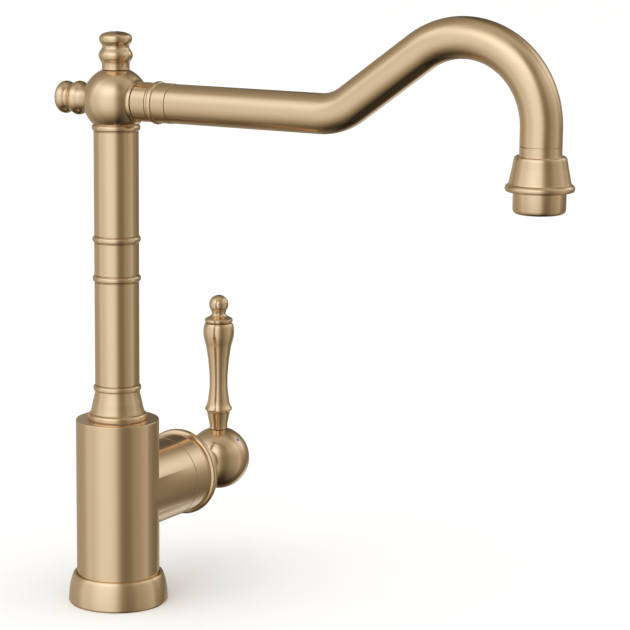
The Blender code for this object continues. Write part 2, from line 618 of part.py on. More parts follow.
def make_handle_housing():
    """The fixed trim round the cartridge: bonnet, rim and dome."""
    on_axis = {"place": HANDLE_ORIGIN, "turn": ALONG_X}
    ring("housing_bonnet", BONNET_BORE, BRANCH_RADIUS, BONNET_START, BONNET_END, GOLD, **on_axis)
    rim_radius = BRANCH_RADIUS + RIM_PROUD
    turned("housing_rim", outline(
        (BONNET_BORE, RIM_END), (rim_radius - 1.2 * MM, RIM_END),
        (rim_radius, RIM_END - 2.2 * MM, 0.4 * MM), (rim_radius - 0.3 * MM, RIM_START + 2.2 * MM),
        (BRANCH_RADIUS, RIM_START, -0.4 * MM), (BONNET_BORE, RIM_START),
    ), GOLD, **on_axis)
    back = BRANCH_LENGTH + BRANCH_NECK_LENGTH + 2 * GAP
    outer = sphere_arc(DOME_RADIUS, PIVOT, DOME_OPENING, math.pi / 2, 6)
    inner = sphere_arc(DOME_RADIUS - DOME_WALL, PIVOT, math.pi / 2, DOME_OPENING, 6)
    edge = [(DOME_RADIUS, back), (DOME_RADIUS - DOME_WALL, back)]
    turned("dome_cover", outer + edge + inner, GOLD, **on_axis)


def make_handle():
    """What the hand moves: bell, ball and lever, with the screw that holds them."""
    on_axis = {"place": HANDLE_ORIGIN, "turn": ALONG_X, "parent": LIFT}
    flat = HANDLE_BALL - math.sqrt(HANDLE_BALL_RADIUS**2 - HUB_NECK_RADIUS**2)
    hub_end = flat - GAP
    hub_angle = math.asin(HUB_NECK_RADIUS / BELL_OUTER)
    bore_angle = math.asin(STEM_HOLE / BELL_INNER)
    turned(
        "handle_bell",
        [(HUB_NECK_RADIUS, hub_end)] + sphere_arc(BELL_OUTER, PIVOT, hub_angle, BELL_EDGE, 4)
        + sphere_arc(BELL_INNER, PIVOT, BELL_EDGE, bore_angle, 4) + [(STEM_HOLE, hub_end)],
        GOLD, **on_axis,
    )
    centre = Vector((HANDLE_BALL, 0, HANDLE_HEIGHT))
    start = math.asin(LEVER_FOOT_RADIUS / HANDLE_BALL_RADIUS)
    top = HANDLE_BALL_RADIUS * math.cos(start)
    ball = turned(
        "handle_ball",
        [(0, top)] + sphere_arc(HANDLE_BALL_RADIUS, 0, start, math.pi, 12)[:-1]
        + [(0, -HANDLE_BALL_RADIUS)],
        GOLD, centre, parent=LIFT,
    )
    rod_low = -HANDLE_BALL_RADIUS * 0.1
    screw_x = HANDLE_BALL - HANDLE_BALL_RADIUS * 0.62
    screw_low = -HANDLE_BALL_RADIUS * math.cos(math.asin(0.62))
    under = (screw_x, 0, HANDLE_HEIGHT)
    cut(
        ball,
        rod("cut_ball_flat", HUB_NECK_RADIUS + OVERRUN, PIVOT, flat, place=HANDLE_ORIGIN, turn=ALONG_X),
        rod("cut_stem_socket", STEM_HOLE, PIVOT, HANDLE_BALL - HANDLE_BALL_RADIUS * 0.4 + GAP,
            place=HANDLE_ORIGIN, turn=ALONG_X),
        rod("cut_lever_socket", LEVER_ROD_RADIUS + GAP, rod_low, HANDLE_BALL_RADIUS + OVERRUN,
            place=centre),
        rod("cut_screw_hole", SCREW_RADIUS + GAP, screw_low - 2 * OVERRUN, 0, place=under),
    )
    screw_top = -STEM_RADIUS - 2 * GAP
    screw = rod("handle_set_screw", SCREW_RADIUS, screw_low + 3 * MM, screw_top, STEEL, under,
                parent=LIFT)
    cut(screw, rod("cut_screw_key", SCREW_RADIUS / 2, screw_low - OVERRUN, screw_low + 5 * MM,
                   place=under, steps=6))
    rod("set_screw_plug", SCREW_RADIUS, screw_low + 0.8 * MM, screw_low + 2.6 * MM, PLASTIC, under,
        parent=LIFT)
    for name, side, surface in (("cold_dot", 1, BLUE), ("hot_dot", -1, RED)):
        tilt = (side * (math.pi / 2 - DOT_ANGLE), 0, 0)
        depth = HANDLE_BALL_RADIUS - 1.6 * MM
        cut(ball, rod(f"cut_{name}", DOT_RADIUS + GAP, depth, HANDLE_BALL_RADIUS + OVERRUN,
                      place=centre, turn=tilt))
        rod(name, DOT_RADIUS, depth + GAP, HANDLE_BALL_RADIUS, surface, centre, tilt, LIFT, 12)
    make_lever(centre, top, rod_low)


def make_lever(centre, top, rod_low):
    """The vase-shaped lever and its cap, drawn on a rod that screws into the ball."""
    foot = top + GAP
    end = foot + LEVER_LENGTH
    hole = LEVER_ROD_RADIUS + GAP
    ring_height = foot + 0.194 * LEVER_LENGTH
    waist = foot + 0.47 * LEVER_LENGTH
    shoulder = foot + 0.925 * LEVER_LENGTH
    turned("lever", outline(
        (hole, end), (LEVER_CAP_RADIUS - 0.4 * MM, end), (LEVER_SHOULDER_RADIUS, shoulder, 0.35 * MM),
        (LEVER_WAIST_RADIUS + 1.9 * MM, end - 17.4 * MM, 0.35 * MM), (LEVER_WAIST_RADIUS, waist, -0.9 * MM),
        (LEVER_WAIST_RADIUS + 1.5 * MM, ring_height + 3.2 * MM, -0.75 * MM),
        (LEVER_RING_RADIUS, ring_height, 0.35 * MM),
        (LEVER_RING_RADIUS - 1.2 * MM, ring_height - 2 * MM, 0.15 * MM),
        (LEVER_FOOT_RADIUS, foot + 2.6 * MM, 0.2 * MM), (LEVER_FOOT_RADIUS, foot), (hole, foot),
    ), GOLD, centre, parent=LIFT, steps=COARSE)
    cap = end + GAP
    thread_end = cap + 3.4 * MM
    knob = cap + 11.6 * MM
    knob_base = math.pi - math.asin((LEVER_CAP_NECK_RADIUS + 0.3 * MM) / LEVER_KNOB_RADIUS)
    arc = sphere_arc(LEVER_KNOB_RADIUS, knob, 0, knob_base, 7)
    turned("lever_cap", [(0, knob + LEVER_KNOB_RADIUS)] + arc[1:] + outline(
        (LEVER_CAP_NECK_RADIUS, cap + 6.2 * MM), (LEVER_CAP_NECK_RADIUS + 1 * MM, cap + 4.6 * MM),
        (LEVER_CAP_RADIUS - 1.3 * MM, cap + 3.4 * MM), (LEVER_CAP_RADIUS - 0.4 * MM, cap, 1.1 * MM),
        (hole, cap), (hole, thread_end), (0, thread_end),
    ), GOLD, centre, parent=LIFT, steps=COARSE)
    rod("lever_rod", LEVER_ROD_RADIUS, rod_low + GAP, thread_end - GAP, STEEL, centre, parent=LIFT,
        steps=16)


def make_column():
    """The swivelling column: collar with its spigot, three tubes and the rings between them."""
    groove = SPIGOT_RADIUS - 2 * O_RING - 0.2 * MM
    seals = (SPIGOT_END + 2.6 * MM, SPIGOT_END + SPIGOT_DEPTH * 0.72)
    steps = [(JOINT_RADIUS, COLLAR_RING + RING_HALF + JOINT_LENGTH), (JOINT_RADIUS, COLLAR_RING + RING_HALF)]
    steps += bead(COLUMN_RADIUS, COLLAR_RING)
    steps += outline(
        (COLUMN_RADIUS + 0.2 * MM, COLLAR_RING - RING_HALF - 0.6 * MM),
        (CONE_FOOT_RADIUS, FOOT + FOOT_HEIGHT, -0.35 * MM), (FOOT_RADIUS - 0.3 * MM, FOOT + 1.4 * MM, 0.5 * MM),
        (FOOT_RADIUS, FOOT + 0.4 * MM), (FOOT_RADIUS - 0.3 * MM, FOOT), (SPIGOT_RADIUS, FOOT),
    )
    for level in (seals[1], grub_height, seals[0]):
        half = O_RING + 0.3 * MM if level != grub_height else SCREW_RADIUS + RUNNING_GAP
        floor = groove if level != grub_height else SPIGOT_RADIUS - 1.3 * MM
        steps += [(SPIGOT_RADIUS, level + half), (floor, level + half), (floor, level - half),
                  (SPIGOT_RADIUS, level - half)]
    steps += [(SPIGOT_RADIUS, SPIGOT_END), (SPIGOT_BORE, SPIGOT_END),
              (SPIGOT_BORE, COLLAR_RING + RING_HALF + JOINT_LENGTH)]
    turned("column_collar", steps, GOLD, parent=SWIVEL)
    for name, level in zip(("lower_o_ring", "upper_o_ring"), seals):
        torus(name, SPIGOT_RADIUS - O_RING, O_RING, level, RUBBER, SWIVEL)
    tubes = (
        ("lower_column_tube", COLLAR_RING, LOWER_RING),
        ("middle_column_tube", LOWER_RING, UPPER_RING),
        ("upper_column_tube", UPPER_RING, NECK_RING),
    )
    for name, low, high in tubes:
        ring(name, COLUMN_BORE, COLUMN_RADIUS, low + RING_HALF + GAP, high - RING_HALF - GAP, GOLD,
             parent=SWIVEL)
    for name, level in (("lower_column_ring", LOWER_RING), ("upper_column_ring", UPPER_RING)):
        high, low = level + RING_HALF, level - RING_HALF
        turned(name, [(JOINT_RADIUS, high + JOINT_LENGTH), (JOINT_RADIUS, high)]
               + bead(COLUMN_RADIUS, level)
               + [(JOINT_RADIUS, low), (JOINT_RADIUS, low - JOINT_LENGTH),
                  (SPIGOT_BORE, low - JOINT_LENGTH), (SPIGOT_BORE, high + JOINT_LENGTH)],
               GOLD, parent=SWIVEL)
    turned("neck_ring", bead(COLUMN_RADIUS, NECK_RING)
           + [(JOINT_RADIUS + GAP, NECK_RING - RING_HALF), (JOINT_RADIUS + GAP, NECK_RING + RING_HALF)],
           GOLD, parent=SWIVEL)
    ring("water_riser", RISER_RADIUS - RISER_WALL, RISER_RADIUS, SPIGOT_END + 2 * MM, HEAD_SEAT - 2 * MM,
         PLASTIC, parent=SWIVEL, steps=COARSE)


def finial_outline():
    """The double-lobed finial, measured from the ball head's centre."""
    seat = FINIAL_SEAT + GAP
    hole = seat - FINIAL_STUD
    neck, lobe, waist, tip = (
        FINIAL_NECK_RADIUS, FINIAL_LOBE_RADIUS, FINIAL_WAIST_RADIUS, FINIAL_TIP_RADIUS
    )
    return outline(
        (0, seat + 22.3 * MM), (tip - 1.5 * MM, seat + 20.5 * MM, 0.9 * MM),
        (tip, seat + 17.4 * MM, 0.45 * MM), (tip - 0.9 * MM, seat + 14.9 * MM, 0.3 * MM),
        (waist, seat + 13.2 * MM, -0.2 * MM), (lobe - 0.95 * MM, seat + 11.2 * MM, -0.2 * MM),
        (lobe, seat + 8 * MM, 0.45 * MM), (neck + 0.5 * MM, seat + 4.6 * MM, 0.35 * MM),
        (neck, seat + 3.1 * MM, -0.1 * MM), (neck, seat), (FINIAL_STUD_RADIUS, seat),
        (FINIAL_STUD_RADIUS, hole), (0, hole),
    )


def make_head():
    """The ball on top of the column, with its two finials."""
    centre = (0, 0, HEAD)
    seat = HEAD_SEAT - HEAD
    start = math.asin(FINIAL_NECK_RADIUS / HEAD_RADIUS)
    end = math.pi - math.asin(HEAD_SEAT_RADIUS / HEAD_RADIUS)
    spigot = seat - 2 * RING_HALF - JOINT_LENGTH
    ball = turned(
        "head_ball",
        [(0, FINIAL_SEAT)] + sphere_arc(HEAD_RADIUS, 0, start, end, 11)
        + [(JOINT_RADIUS, seat), (JOINT_RADIUS, spigot), (0, spigot)],
        GOLD, centre, parent=SWIVEL,
    )
    boss = rod("join_spout_boss", SPOUT_BOSS_RADIUS, 0, SPOUT_BOSS_REACH, place=centre,
               turn=ALONG_MINUS_Y, steps=FINE)
    boolean(ball, boss, "UNION")
    stud_hole_radius = FINIAL_STUD_RADIUS + GAP
    cut(
        ball,
        rod("cut_head_riser", SPIGOT_BORE, spigot - OVERRUN, NIPPLE_HOLE / 2, place=centre, steps=FINE),
        rod("cut_head_nipple", NIPPLE_HOLE, -NIPPLE_HOLE / 2, SPOUT_BOSS_REACH + OVERRUN, place=centre,
            turn=ALONG_MINUS_Y, steps=FINE),
        rod("cut_front_flat", SPOUT_BOSS_RADIUS + OVERRUN, SPOUT_BOSS_REACH, HEAD_RADIUS + OVERRUN,
            place=centre, turn=ALONG_MINUS_Y),
        rod("cut_rear_flat", FINIAL_NECK_RADIUS + OVERRUN, FINIAL_SEAT, HEAD_RADIUS + OVERRUN,
            place=centre, turn=ALONG_Y),
        rod("cut_top_stud", stud_hole_radius, FINIAL_SEAT - FINIAL_STUD - GAP, HEAD_RADIUS,
            place=centre),
        rod("cut_rear_stud", stud_hole_radius, FINIAL_SEAT - FINIAL_STUD - GAP, HEAD_RADIUS,
            place=centre, turn=ALONG_Y),
    )
    turned("top_finial", finial_outline(), GOLD, centre, parent=SWIVEL, steps=COARSE)
    turned("rear_finial", finial_outline(), GOLD, centre, ALONG_Y, SWIVEL, COARSE)


def spout_path(overrun):
    """Points along the middle of the spout's tube, which may run past both ends."""
    points = [(-TUBE_START + overrun, HEAD), (-SPOUT_STRAIGHT, HEAD)]
    steps = 5
    for i in range(1, steps + 1):
        angle = RISE_ANGLE * i / steps
        points.append((
            -SPOUT_STRAIGHT - BEND_RADIUS * math.sin(angle), HEAD + BEND_RADIUS * (1 - math.cos(angle))
        ))
    middle = SPOUT_REACH - ARCH_RADIUS
    steps = 12
    sweep = RISE_ANGLE + math.pi / 2
    for i in range(steps + 1):
        angle = RISE_ANGLE - sweep * i / steps
        points.append((
            -middle + ARCH_RADIUS * math.sin(angle), CREST - ARCH_RADIUS + ARCH_RADIUS * math.cos(angle)
        ))
    points.append((-SPOUT_REACH, TUBE_END - overrun))
    return points


def bent_bar(name, radius, overrun, surface=None):
    """A round bar along the spout's path."""
    curve = bpy.data.curves.new(f"{name}_path", "CURVE")
    curve.dimensions = "3D"
    curve.bevel_depth = radius
    curve.bevel_resolution = 6
    curve.use_fill_caps = True
    path = spout_path(overrun)
    spline = curve.splines.new("POLY")
    spline.points.add(len(path) - 1)
    for point, (y, z) in zip(spline.points, path):
        point.co = (0, y, z, 1)
    guide = bpy.data.objects.new(f"{name}_path", curve)
    CUTTERS.objects.link(guide)
    bpy.context.view_layer.update()
    graph = bpy.context.evaluated_depsgraph_get()
    mesh = bpy.data.meshes.new_from_object(guide.evaluated_get(graph))
    shape = bmesh.new()
    shape.from_mesh(mesh)
    bmesh.ops.remove_doubles(shape, verts=shape.verts, dist=0.00002)
    bmesh.ops.recalc_face_normals(shape, faces=shape.faces)
    shape.to_mesh(mesh)
    shape.free()
    mesh.materials.clear()
    bpy.data.objects.remove(guide, do_unlink=True)
    return finish_object(name, mesh, surface, (0, 0, 0), UPRIGHT, SWIVEL if surface else None)


def make_spout():
    """The spout's union at the ball head and its bent tube."""
    on_axis = {"place": (0, 0, HEAD), "turn": ALONG_MINUS_Y, "parent": SWIVEL}
    ring("spout_sleeve", NIPPLE_HOLE, SPOUT_BOSS_RADIUS, SLEEVE_START, SLEEVE_START + SLEEVE_LENGTH,
         GOLD, **on_axis)
    end = FERRULE_START + FERRULE_LENGTH
    half = FERRULE_BEAD / 2
    turned("spout_ferrule", [(NIPPLE_HOLE, end), (FERRULE_RADIUS - 0.3 * MM, end),
                             (FERRULE_RADIUS, end - 1 * MM)]
           + bead(FERRULE_RADIUS - 0.3 * MM, FERRULE_START + half, half) + [(NIPPLE_HOLE, FERRULE_START)],
           GOLD, **on_axis)
    ring("spout_nipple", NIPPLE_RADIUS - NIPPLE_WALL, NIPPLE_RADIUS, SPIGOT_BORE + GAP,
         end + JOINT_LENGTH, BRASS, **on_axis, steps=COARSE)
    tube = bent_bar("spout_tube", SPOUT_RADIUS, 0, GOLD)
    boolean(tube, bent_bar("cut_spout_bore", SPOUT_BORE, OVERRUN))


def stream_holes(low, high):
    """One cutter for all the holes of the aerator's face."""
    mesh = bpy.data.meshes.new("cut_stream")
    shape = bmesh.new()
    for count, reach in ((4, 0.26), (8, 0.62)):
        for i in range(count):
            angle = 2 * math.pi * (i + 0.3) / count
            place = Vector((math.cos(angle), math.sin(angle), 0)) * reach * INSERT_RADIUS
            place.z = (low + high) / 2
            bmesh.ops.create_cone(
                shape, cap_ends=True, segments=8, radius1=STREAM_HOLE, radius2=STREAM_HOLE,
                depth=high - low, matrix=Matrix.Translation(place),
            )
    shape.to_mesh(mesh)
    shape.free()
    return finish_object("cut_stream", mesh, None, (0, -SPOUT_REACH, 0), UPRIGHT, None)


def make_outlet():
    """The bell at the spout's end and the aerator that screws into it."""
    on_axis = {"place": (0, -SPOUT_REACH, 0), "parent": SWIVEL}
    joint = SPOUT_BORE - GAP
    thread = NOZZLE_RADIUS - NOZZLE_THREAD_WALL
    bore = NOZZLE_BORE - 3 * MM
    thread_top = NOZZLE_TOP + NOZZLE_THREAD
    foot = BELL_FOOT
    turned("outlet_bell", outline(
        (joint, OUTLET_TOP + DROP_LENGTH / 2), (joint, OUTLET_TOP), (SPOUT_RADIUS, OUTLET_TOP),
        (SPOUT_RADIUS, BELL_TOP + 0.3 * MM), (SPOUT_RADIUS + 0.4 * MM, BELL_TOP),
        (BELL_TOP_RADIUS, BELL_TOP - 1.4 * MM, 0.5 * MM), (BELL_FOOT_RADIUS, foot, 0.1 * MM),
        (BELL_BEAD_RADIUS, foot - 0.5 * BELL_BEAD, 0.55 * MM), (BELL_FOOT_RADIUS, BELL_BOTTOM, 0.9 * MM),
        (thread + GAP, BELL_BOTTOM), (thread + GAP, thread_top + GAP), (bore, thread_top + GAP),
        (bore, OUTLET_TOP + DROP_LENGTH / 2),
    ), GOLD, **on_axis)
    lip = NOZZLE_BORE - 0.9 * MM
    turned("aerator_housing", outline(
        (NOZZLE_BORE, thread_top), (thread, thread_top), (thread, NOZZLE_TOP), (NOZZLE_RADIUS, NOZZLE_TOP),
        (NOZZLE_RADIUS, NOZZLE_BOTTOM + NOZZLE_EDGE),
        (NOZZLE_RADIUS - NOZZLE_EDGE, NOZZLE_BOTTOM, 0.29 * NOZZLE_EDGE), (lip, NOZZLE_BOTTOM),
        (lip, NOZZLE_BOTTOM + 1 * MM), (NOZZLE_BORE, NOZZLE_BOTTOM + 1 * MM),
    ), GOLD, **on_axis)
    low = NOZZLE_BOTTOM + 1 * MM + GAP
    insert = turned("aerator_insert", [
        (0, low + 2 * MM), (INSERT_RADIUS - 1.4 * MM, low + 2 * MM),
        (INSERT_RADIUS - 1.4 * MM, low + INSERT_HEIGHT), (INSERT_RADIUS, low + INSERT_HEIGHT),
        (INSERT_RADIUS, low), (0, low),
    ], PLASTIC, **on_axis)
    cut(insert, stream_holes(low - OVERRUN, low + 2 * MM + OVERRUN))
    screen_low = low + INSERT_HEIGHT + GAP
    screen_high = screen_low + SCREEN_THICKNESS
    ring("aerator_screen", INSERT_RADIUS * 0.3, INSERT_RADIUS, screen_low, screen_high, STEEL, **on_axis,
         steps=COARSE)
    ring("aerator_gasket", INSERT_RADIUS * 0.7, INSERT_RADIUS, screen_high + GAP,
         screen_high + GAP + 2 * MM, RUBBER, **on_axis, steps=COARSE)


def main():
    """Builds every sub-part, then shades the round surfaces smooth."""
    make_base()
    make_body()
    make_fixing()
    make_cartridge()
    make_handle_housing()
    make_handle()
    make_column()
    make_head()
    make_spout()
    make_outlet()
    for piece in PARTS.objects:
        if piece.type == "MESH" and piece.data.polygons:
            piece.data.shade_smooth()
            piece.data.set_sharp_from_angle(angle=math.radians(35))


main()
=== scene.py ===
"""The visible model of a satin gold kitchen mixer with a swan neck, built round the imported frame.

Sizes and places are in millimetres until a mesh is made, and meshes are in metres. The worktop
is the plane z = 0, the column stands on the Z axis, the spout runs along -Y and the handle's axis
runs along +X.
"""

import json
import logging
import math
from dataclasses import dataclass, field
from enum import Enum
from typing import Any, Optional, Sequence, Union

import bpy
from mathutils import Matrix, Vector

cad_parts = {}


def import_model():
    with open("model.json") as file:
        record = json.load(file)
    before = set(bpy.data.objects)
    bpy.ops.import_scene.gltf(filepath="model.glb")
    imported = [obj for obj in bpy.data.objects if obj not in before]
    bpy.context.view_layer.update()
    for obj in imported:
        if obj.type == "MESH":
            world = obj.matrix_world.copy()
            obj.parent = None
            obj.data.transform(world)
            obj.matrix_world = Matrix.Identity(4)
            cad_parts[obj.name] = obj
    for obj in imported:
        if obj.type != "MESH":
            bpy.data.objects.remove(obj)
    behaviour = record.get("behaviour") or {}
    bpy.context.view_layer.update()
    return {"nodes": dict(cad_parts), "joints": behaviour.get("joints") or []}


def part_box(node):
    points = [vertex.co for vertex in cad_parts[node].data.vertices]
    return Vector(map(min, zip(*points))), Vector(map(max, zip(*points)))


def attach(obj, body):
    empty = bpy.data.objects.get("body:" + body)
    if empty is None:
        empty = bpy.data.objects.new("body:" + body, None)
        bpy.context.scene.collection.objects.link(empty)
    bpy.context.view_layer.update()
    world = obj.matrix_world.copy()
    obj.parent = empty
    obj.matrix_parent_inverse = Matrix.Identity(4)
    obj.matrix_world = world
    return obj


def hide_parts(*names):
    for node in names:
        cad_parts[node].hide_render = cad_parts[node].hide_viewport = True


LOG = logging.getLogger("kitchen_mixer")
MM = 0.001
ORIGIN = (0.0, 0.0, 0.0)
FIT = 0.3
FINE_TURN = 128
PLAIN_TURN = 64
SMALL_TURN = 32
CREASE = math.radians(35)
SEAM_RISE = 1.9

Point = tuple[float, float]
Place = Sequence[float]
Piece = bpy.types.Object
Number = Union[float, "Signal"]


class Facing(Enum):
    """Which way a turned piece's axis points."""

    UP = (0.0, 0.0, 0.0)
    ALONG_X = (0.0, math.pi / 2, 0.0)
    ALONG_Y = (-math.pi / 2, 0.0, 0.0)
    ALONG_MINUS_Y = (math.pi / 2, 0.0, 0.0)


class Grain(Enum):
    """The axis round which a piece was brushed: hair lines run round it."""

    ROUND_X = 0
    ROUND_Y = 1
    ROUND_Z = 2
    ROUND_PATH = 3


GRAIN_OF = {
    Facing.UP: Grain.ROUND_Z, Facing.ALONG_X: Grain.ROUND_X,
    Facing.ALONG_Y: Grain.ROUND_Y, Facing.ALONG_MINUS_Y: Grain.ROUND_Y,
}


# Shader graphs


class Signal:
    """A number that a shader node gives, with the usual arithmetic."""

    def __init__(self, graph: "Graph", socket: bpy.types.NodeSocket) -> None:
        """Wraps an output socket of a graph."""
        self.graph = graph
        self.socket = socket

    def _maths(self, operation: str, first: Number, second: Number) -> "Signal":
        """One Math node on two numbers."""
        node = self.graph.node("ShaderNodeMath", {"operation": operation}, {0: first, 1: second})
        return Signal(self.graph, node.outputs[0])

    def __add__(self, other: Number) -> "Signal":
        """self + other"""
        return self._maths("ADD", self, other)

    def __sub__(self, other: Number) -> "Signal":
        """self - other"""
        return self._maths("SUBTRACT", self, other)

    def __rsub__(self, other: Number) -> "Signal":
        """other - self"""
        return self._maths("SUBTRACT", other, self)

    def __mul__(self, other: Number) -> "Signal":
        """self * other"""
        return self._maths("MULTIPLY", self, other)

    def __truediv__(self, other: Number) -> "Signal":
        """self / other"""
        return self._maths("DIVIDE", self, other)

    def __rtruediv__(self, other: Number) -> "Signal":
        """other / self"""
        return self._maths("DIVIDE", other, self)

    def __pow__(self, other: Number) -> "Signal":
        """self to the power of other"""
        return self._maths("POWER", self, other)

    def against(self, other: Number) -> "Signal":
        """The angle whose tangent is self over other, all the way round."""
        return self._maths("ARCTAN2", self, other)

    def arcsine(self) -> "Signal":
        """The angle whose sine this is."""
        return self._maths("ARCSINE", self, 0.0)

    def least(self, other: Number) -> "Signal":
        """The smaller of the two."""
        return self._maths("MINIMUM", self, other)

    def most(self, other: Number) -> "Signal":
        """The larger of the two."""
        return self._maths("MAXIMUM", self, other)

    __radd__ = __add__
    __rmul__ = __mul__


class Graph:
    """A node tree that is built with one method."""

    def __init__(self, tree: bpy.types.NodeTree) -> None:
        """Empties a tree and keeps it."""
        self.tree = tree
        tree.nodes.clear()

    def node(
        self,
        kind: str,
        settings: Optional[dict[str, Any]] = None,
        inputs: Optional[dict[Union[str, int], Any]] = None,
    ) -> bpy.types.Node:
        """Adds a node.

        Args:
            kind: the node's type.
            settings: its own properties, or "stops" for the stops of a ramp.
            inputs: values, sockets or signals for its inputs, by name or number.

        Returns:
            The node.
        """
        made = self.tree.nodes.new(kind)
        for name, value in (settings or {}).items():
            if name == "stops":
                self._set_stops(made.color_ramp, value)
            else:
                setattr(made, name, value)
        for name, value in (inputs or {}).items():
            if isinstance(value, Signal):
                value = value.socket
            if isinstance(value, bpy.types.NodeSocket):
                self.tree.links.new(value, made.inputs[name])
            else:
                made.inputs[name].default_value = value
        return made

    @staticmethod
    def _set_stops(ramp: bpy.types.ColorRamp, stops: Sequence[tuple[float, Place]]) -> None:
        """Gives a ramp its stops, as (place, colour).

        Args:
            ramp: the ramp.
            stops: the stops, in order.
        """
        while len(ramp.elements) < len(stops):
            ramp.elements.new(1.0)
        for element, (place, colour) in zip(ramp.elements, stops):
            element.position = place
            element.color = (*colour, 1.0)

    def noise(self, vector: Any, scale: float, detail: float = 2.0) -> Signal:
        """A noise between 0 and 1.

        Args:
            vector: the place that it reads.
            scale: how fine it is.
            detail: how many finer layers it has.

        Returns:
            The noise.
        """
        node = self.node(
            "ShaderNodeTexNoise", None, {"Vector": vector, "Scale": scale, "Detail": detail}
        )
        return Signal(self, node.outputs["Fac"])

    def blend(self, share: Number, first: Place, second: Place) -> Any:
        """A colour between two others.

        Args:
            share: 0 for the first, 1 for the second.
            first: a colour.
            second: a colour.

        Returns:
            The colour's socket.
        """
        node = self.node(
            "ShaderNodeMix", {"data_type": "RGBA"},
            {0: share, 6: (*first, 1.0), 7: (*second, 1.0)},
        )
        return node.outputs[2]

    def place(self) -> Any:
        """The surface's own place, in metres."""
        return self.node("ShaderNodeTexCoord").outputs["Object"]

    def stretched(self, vector: Any, scale: Place) -> Any:
        """A place with each axis multiplied."""
        return self.node("ShaderNodeMapping", None, {"Vector": vector, "Scale": scale}).outputs[0]


@dataclass(frozen=True)
class Finish:
    """A finish that a piece can be given."""

    name: str
    slot: str
    constants: tuple[tuple[str, float], ...] = ()

    def paint(self, graph: Graph, shader: bpy.types.Node) -> None:
        """Sets what changes over the surface."""
        raise NotImplementedError

    def material(self) -> bpy.types.Material:
        """The finish as a material, made once.

        Returns:
            The material.
        """
        found = bpy.data.materials.get(self.name)
        if found:
            return found
        made = bpy.data.materials.new(self.name)
        made.use_nodes = True
        graph = Graph(made.node_tree)
        shader = graph.node("ShaderNodeBsdfPrincipled", None, dict(self.constants))
        graph.node("ShaderNodeOutputMaterial", None, {"Surface": shader.outputs[0]})
        self.paint(graph, shader)
        return made

    @staticmethod
    def bump(graph: Graph, shader: bpy.types.Node, height: Signal, depth: float) -> None:
        """Raises the surface by a height between 0 and 1.

        Args:
            graph: the material's graph.
            shader: the shader whose normal is bent.
            height: the height.
            depth: what a height of 1 measures, in millimetres.
        """
        node = graph.node(
            "ShaderNodeBump", None, {"Strength": 1.0, "Distance": depth * MM, "Height": height}
        )
        graph.tree.links.new(node.outputs[0], shader.inputs["Normal"])


@dataclass(frozen=True)
class BrushedMetal(Finish):
    """A coated or bare metal with fine hair lines round an axis."""

    grain: Grain = Grain.ROUND_Z
    light: tuple[float, float, float] = (0.81, 0.614, 0.403)
    dark: tuple[float, float, float] = (0.78, 0.582, 0.372)
    roughness: float = 0.165
    line_depth: float = 0.0006
    across: float = 5200.0
    along: float = 240.0
    patches: float = 55.0
    speckle: float = 2600.0
    constants: tuple[tuple[str, float], ...] = (("Metallic", 1.0),)

    def paint(self, graph: Graph, shader: bpy.types.Node) -> None:
        """Hair lines in the gloss and the relief, and a slow drift in the coating's colour.

        Args:
            graph: the material's graph.
            shader: the shader.
        """
        place = graph.place()
        lines_scale = [self.along] * 3
        if self.grain is Grain.ROUND_PATH:
            along = graph.node("ShaderNodeAttribute", {"attribute_name": "along"}).outputs["Fac"]
            split = graph.node("ShaderNodeSeparateXYZ", None, {0: place})
            joined = graph.node("ShaderNodeCombineXYZ", None, {0: split.outputs[0], 2: along})
            lines_scale[1] = lines_scale[2] = self.across
            lines_vector = graph.stretched(joined.outputs[0], lines_scale)
        else:
            lines_scale[self.grain.value] = self.across
            lines_vector = graph.stretched(place, lines_scale)
        lines = graph.noise(lines_vector, 1.0, 3.0)
        patches = graph.noise(place, self.patches, 3.0)
        speckle = graph.noise(place, self.speckle, 1.0)
        colour = graph.blend(patches * 0.6 + lines * 0.4, self.dark, self.light)
        graph.tree.links.new(colour, shader.inputs["Base Color"])
        gloss = self.roughness + (lines - 0.5) * 0.10 + (patches - 0.5) * 0.05
        graph.tree.links.new(gloss.socket, shader.inputs["Roughness"])
        self.bump(graph, shader, lines * 0.7 + speckle * 0.3, self.line_depth)


@dataclass(frozen=True)
class Moulded(Finish):
    """A plastic, rubber or ceramic with a faint moulded texture."""

    light: tuple[float, float, float] = (0.8, 0.8, 0.78)
    dark: tuple[float, float, float] = (0.72, 0.72, 0.70)
    roughness: float = 0.45
    patches: float = 60.0
    pitch: float = 900.0
    depth: float = 0.006

    def paint(self, graph: Graph, shader: bpy.types.Node) -> None:
        """A slow drift in colour and a fine texture.

        Args:
            graph: the material's graph.
            shader: the shader.
        """
        place = graph.place()
        patches = graph.noise(place, self.patches, 3.0)
        fine = graph.noise(place, self.pitch, 2.0)
        colour = graph.blend(patches, self.dark, self.light)
        graph.tree.links.new(colour, shader.inputs["Base Color"])
        gloss = self.roughness + (fine - 0.5) * 0.12
        graph.tree.links.new(gloss.socket, shader.inputs["Roughness"])
        self.bump(graph, shader, fine, self.depth)


ENAMEL_COAT = (("Coat Weight", 0.6), ("Coat Roughness", 0.08))


def gold(grain: Grain = Grain.ROUND_Z) -> BrushedMetal:
    """The satin gold of every piece that shows, brushed round an axis."""
    return BrushedMetal(f"satin_gold_{grain.name.lower()}", "satin_gold", grain=grain)


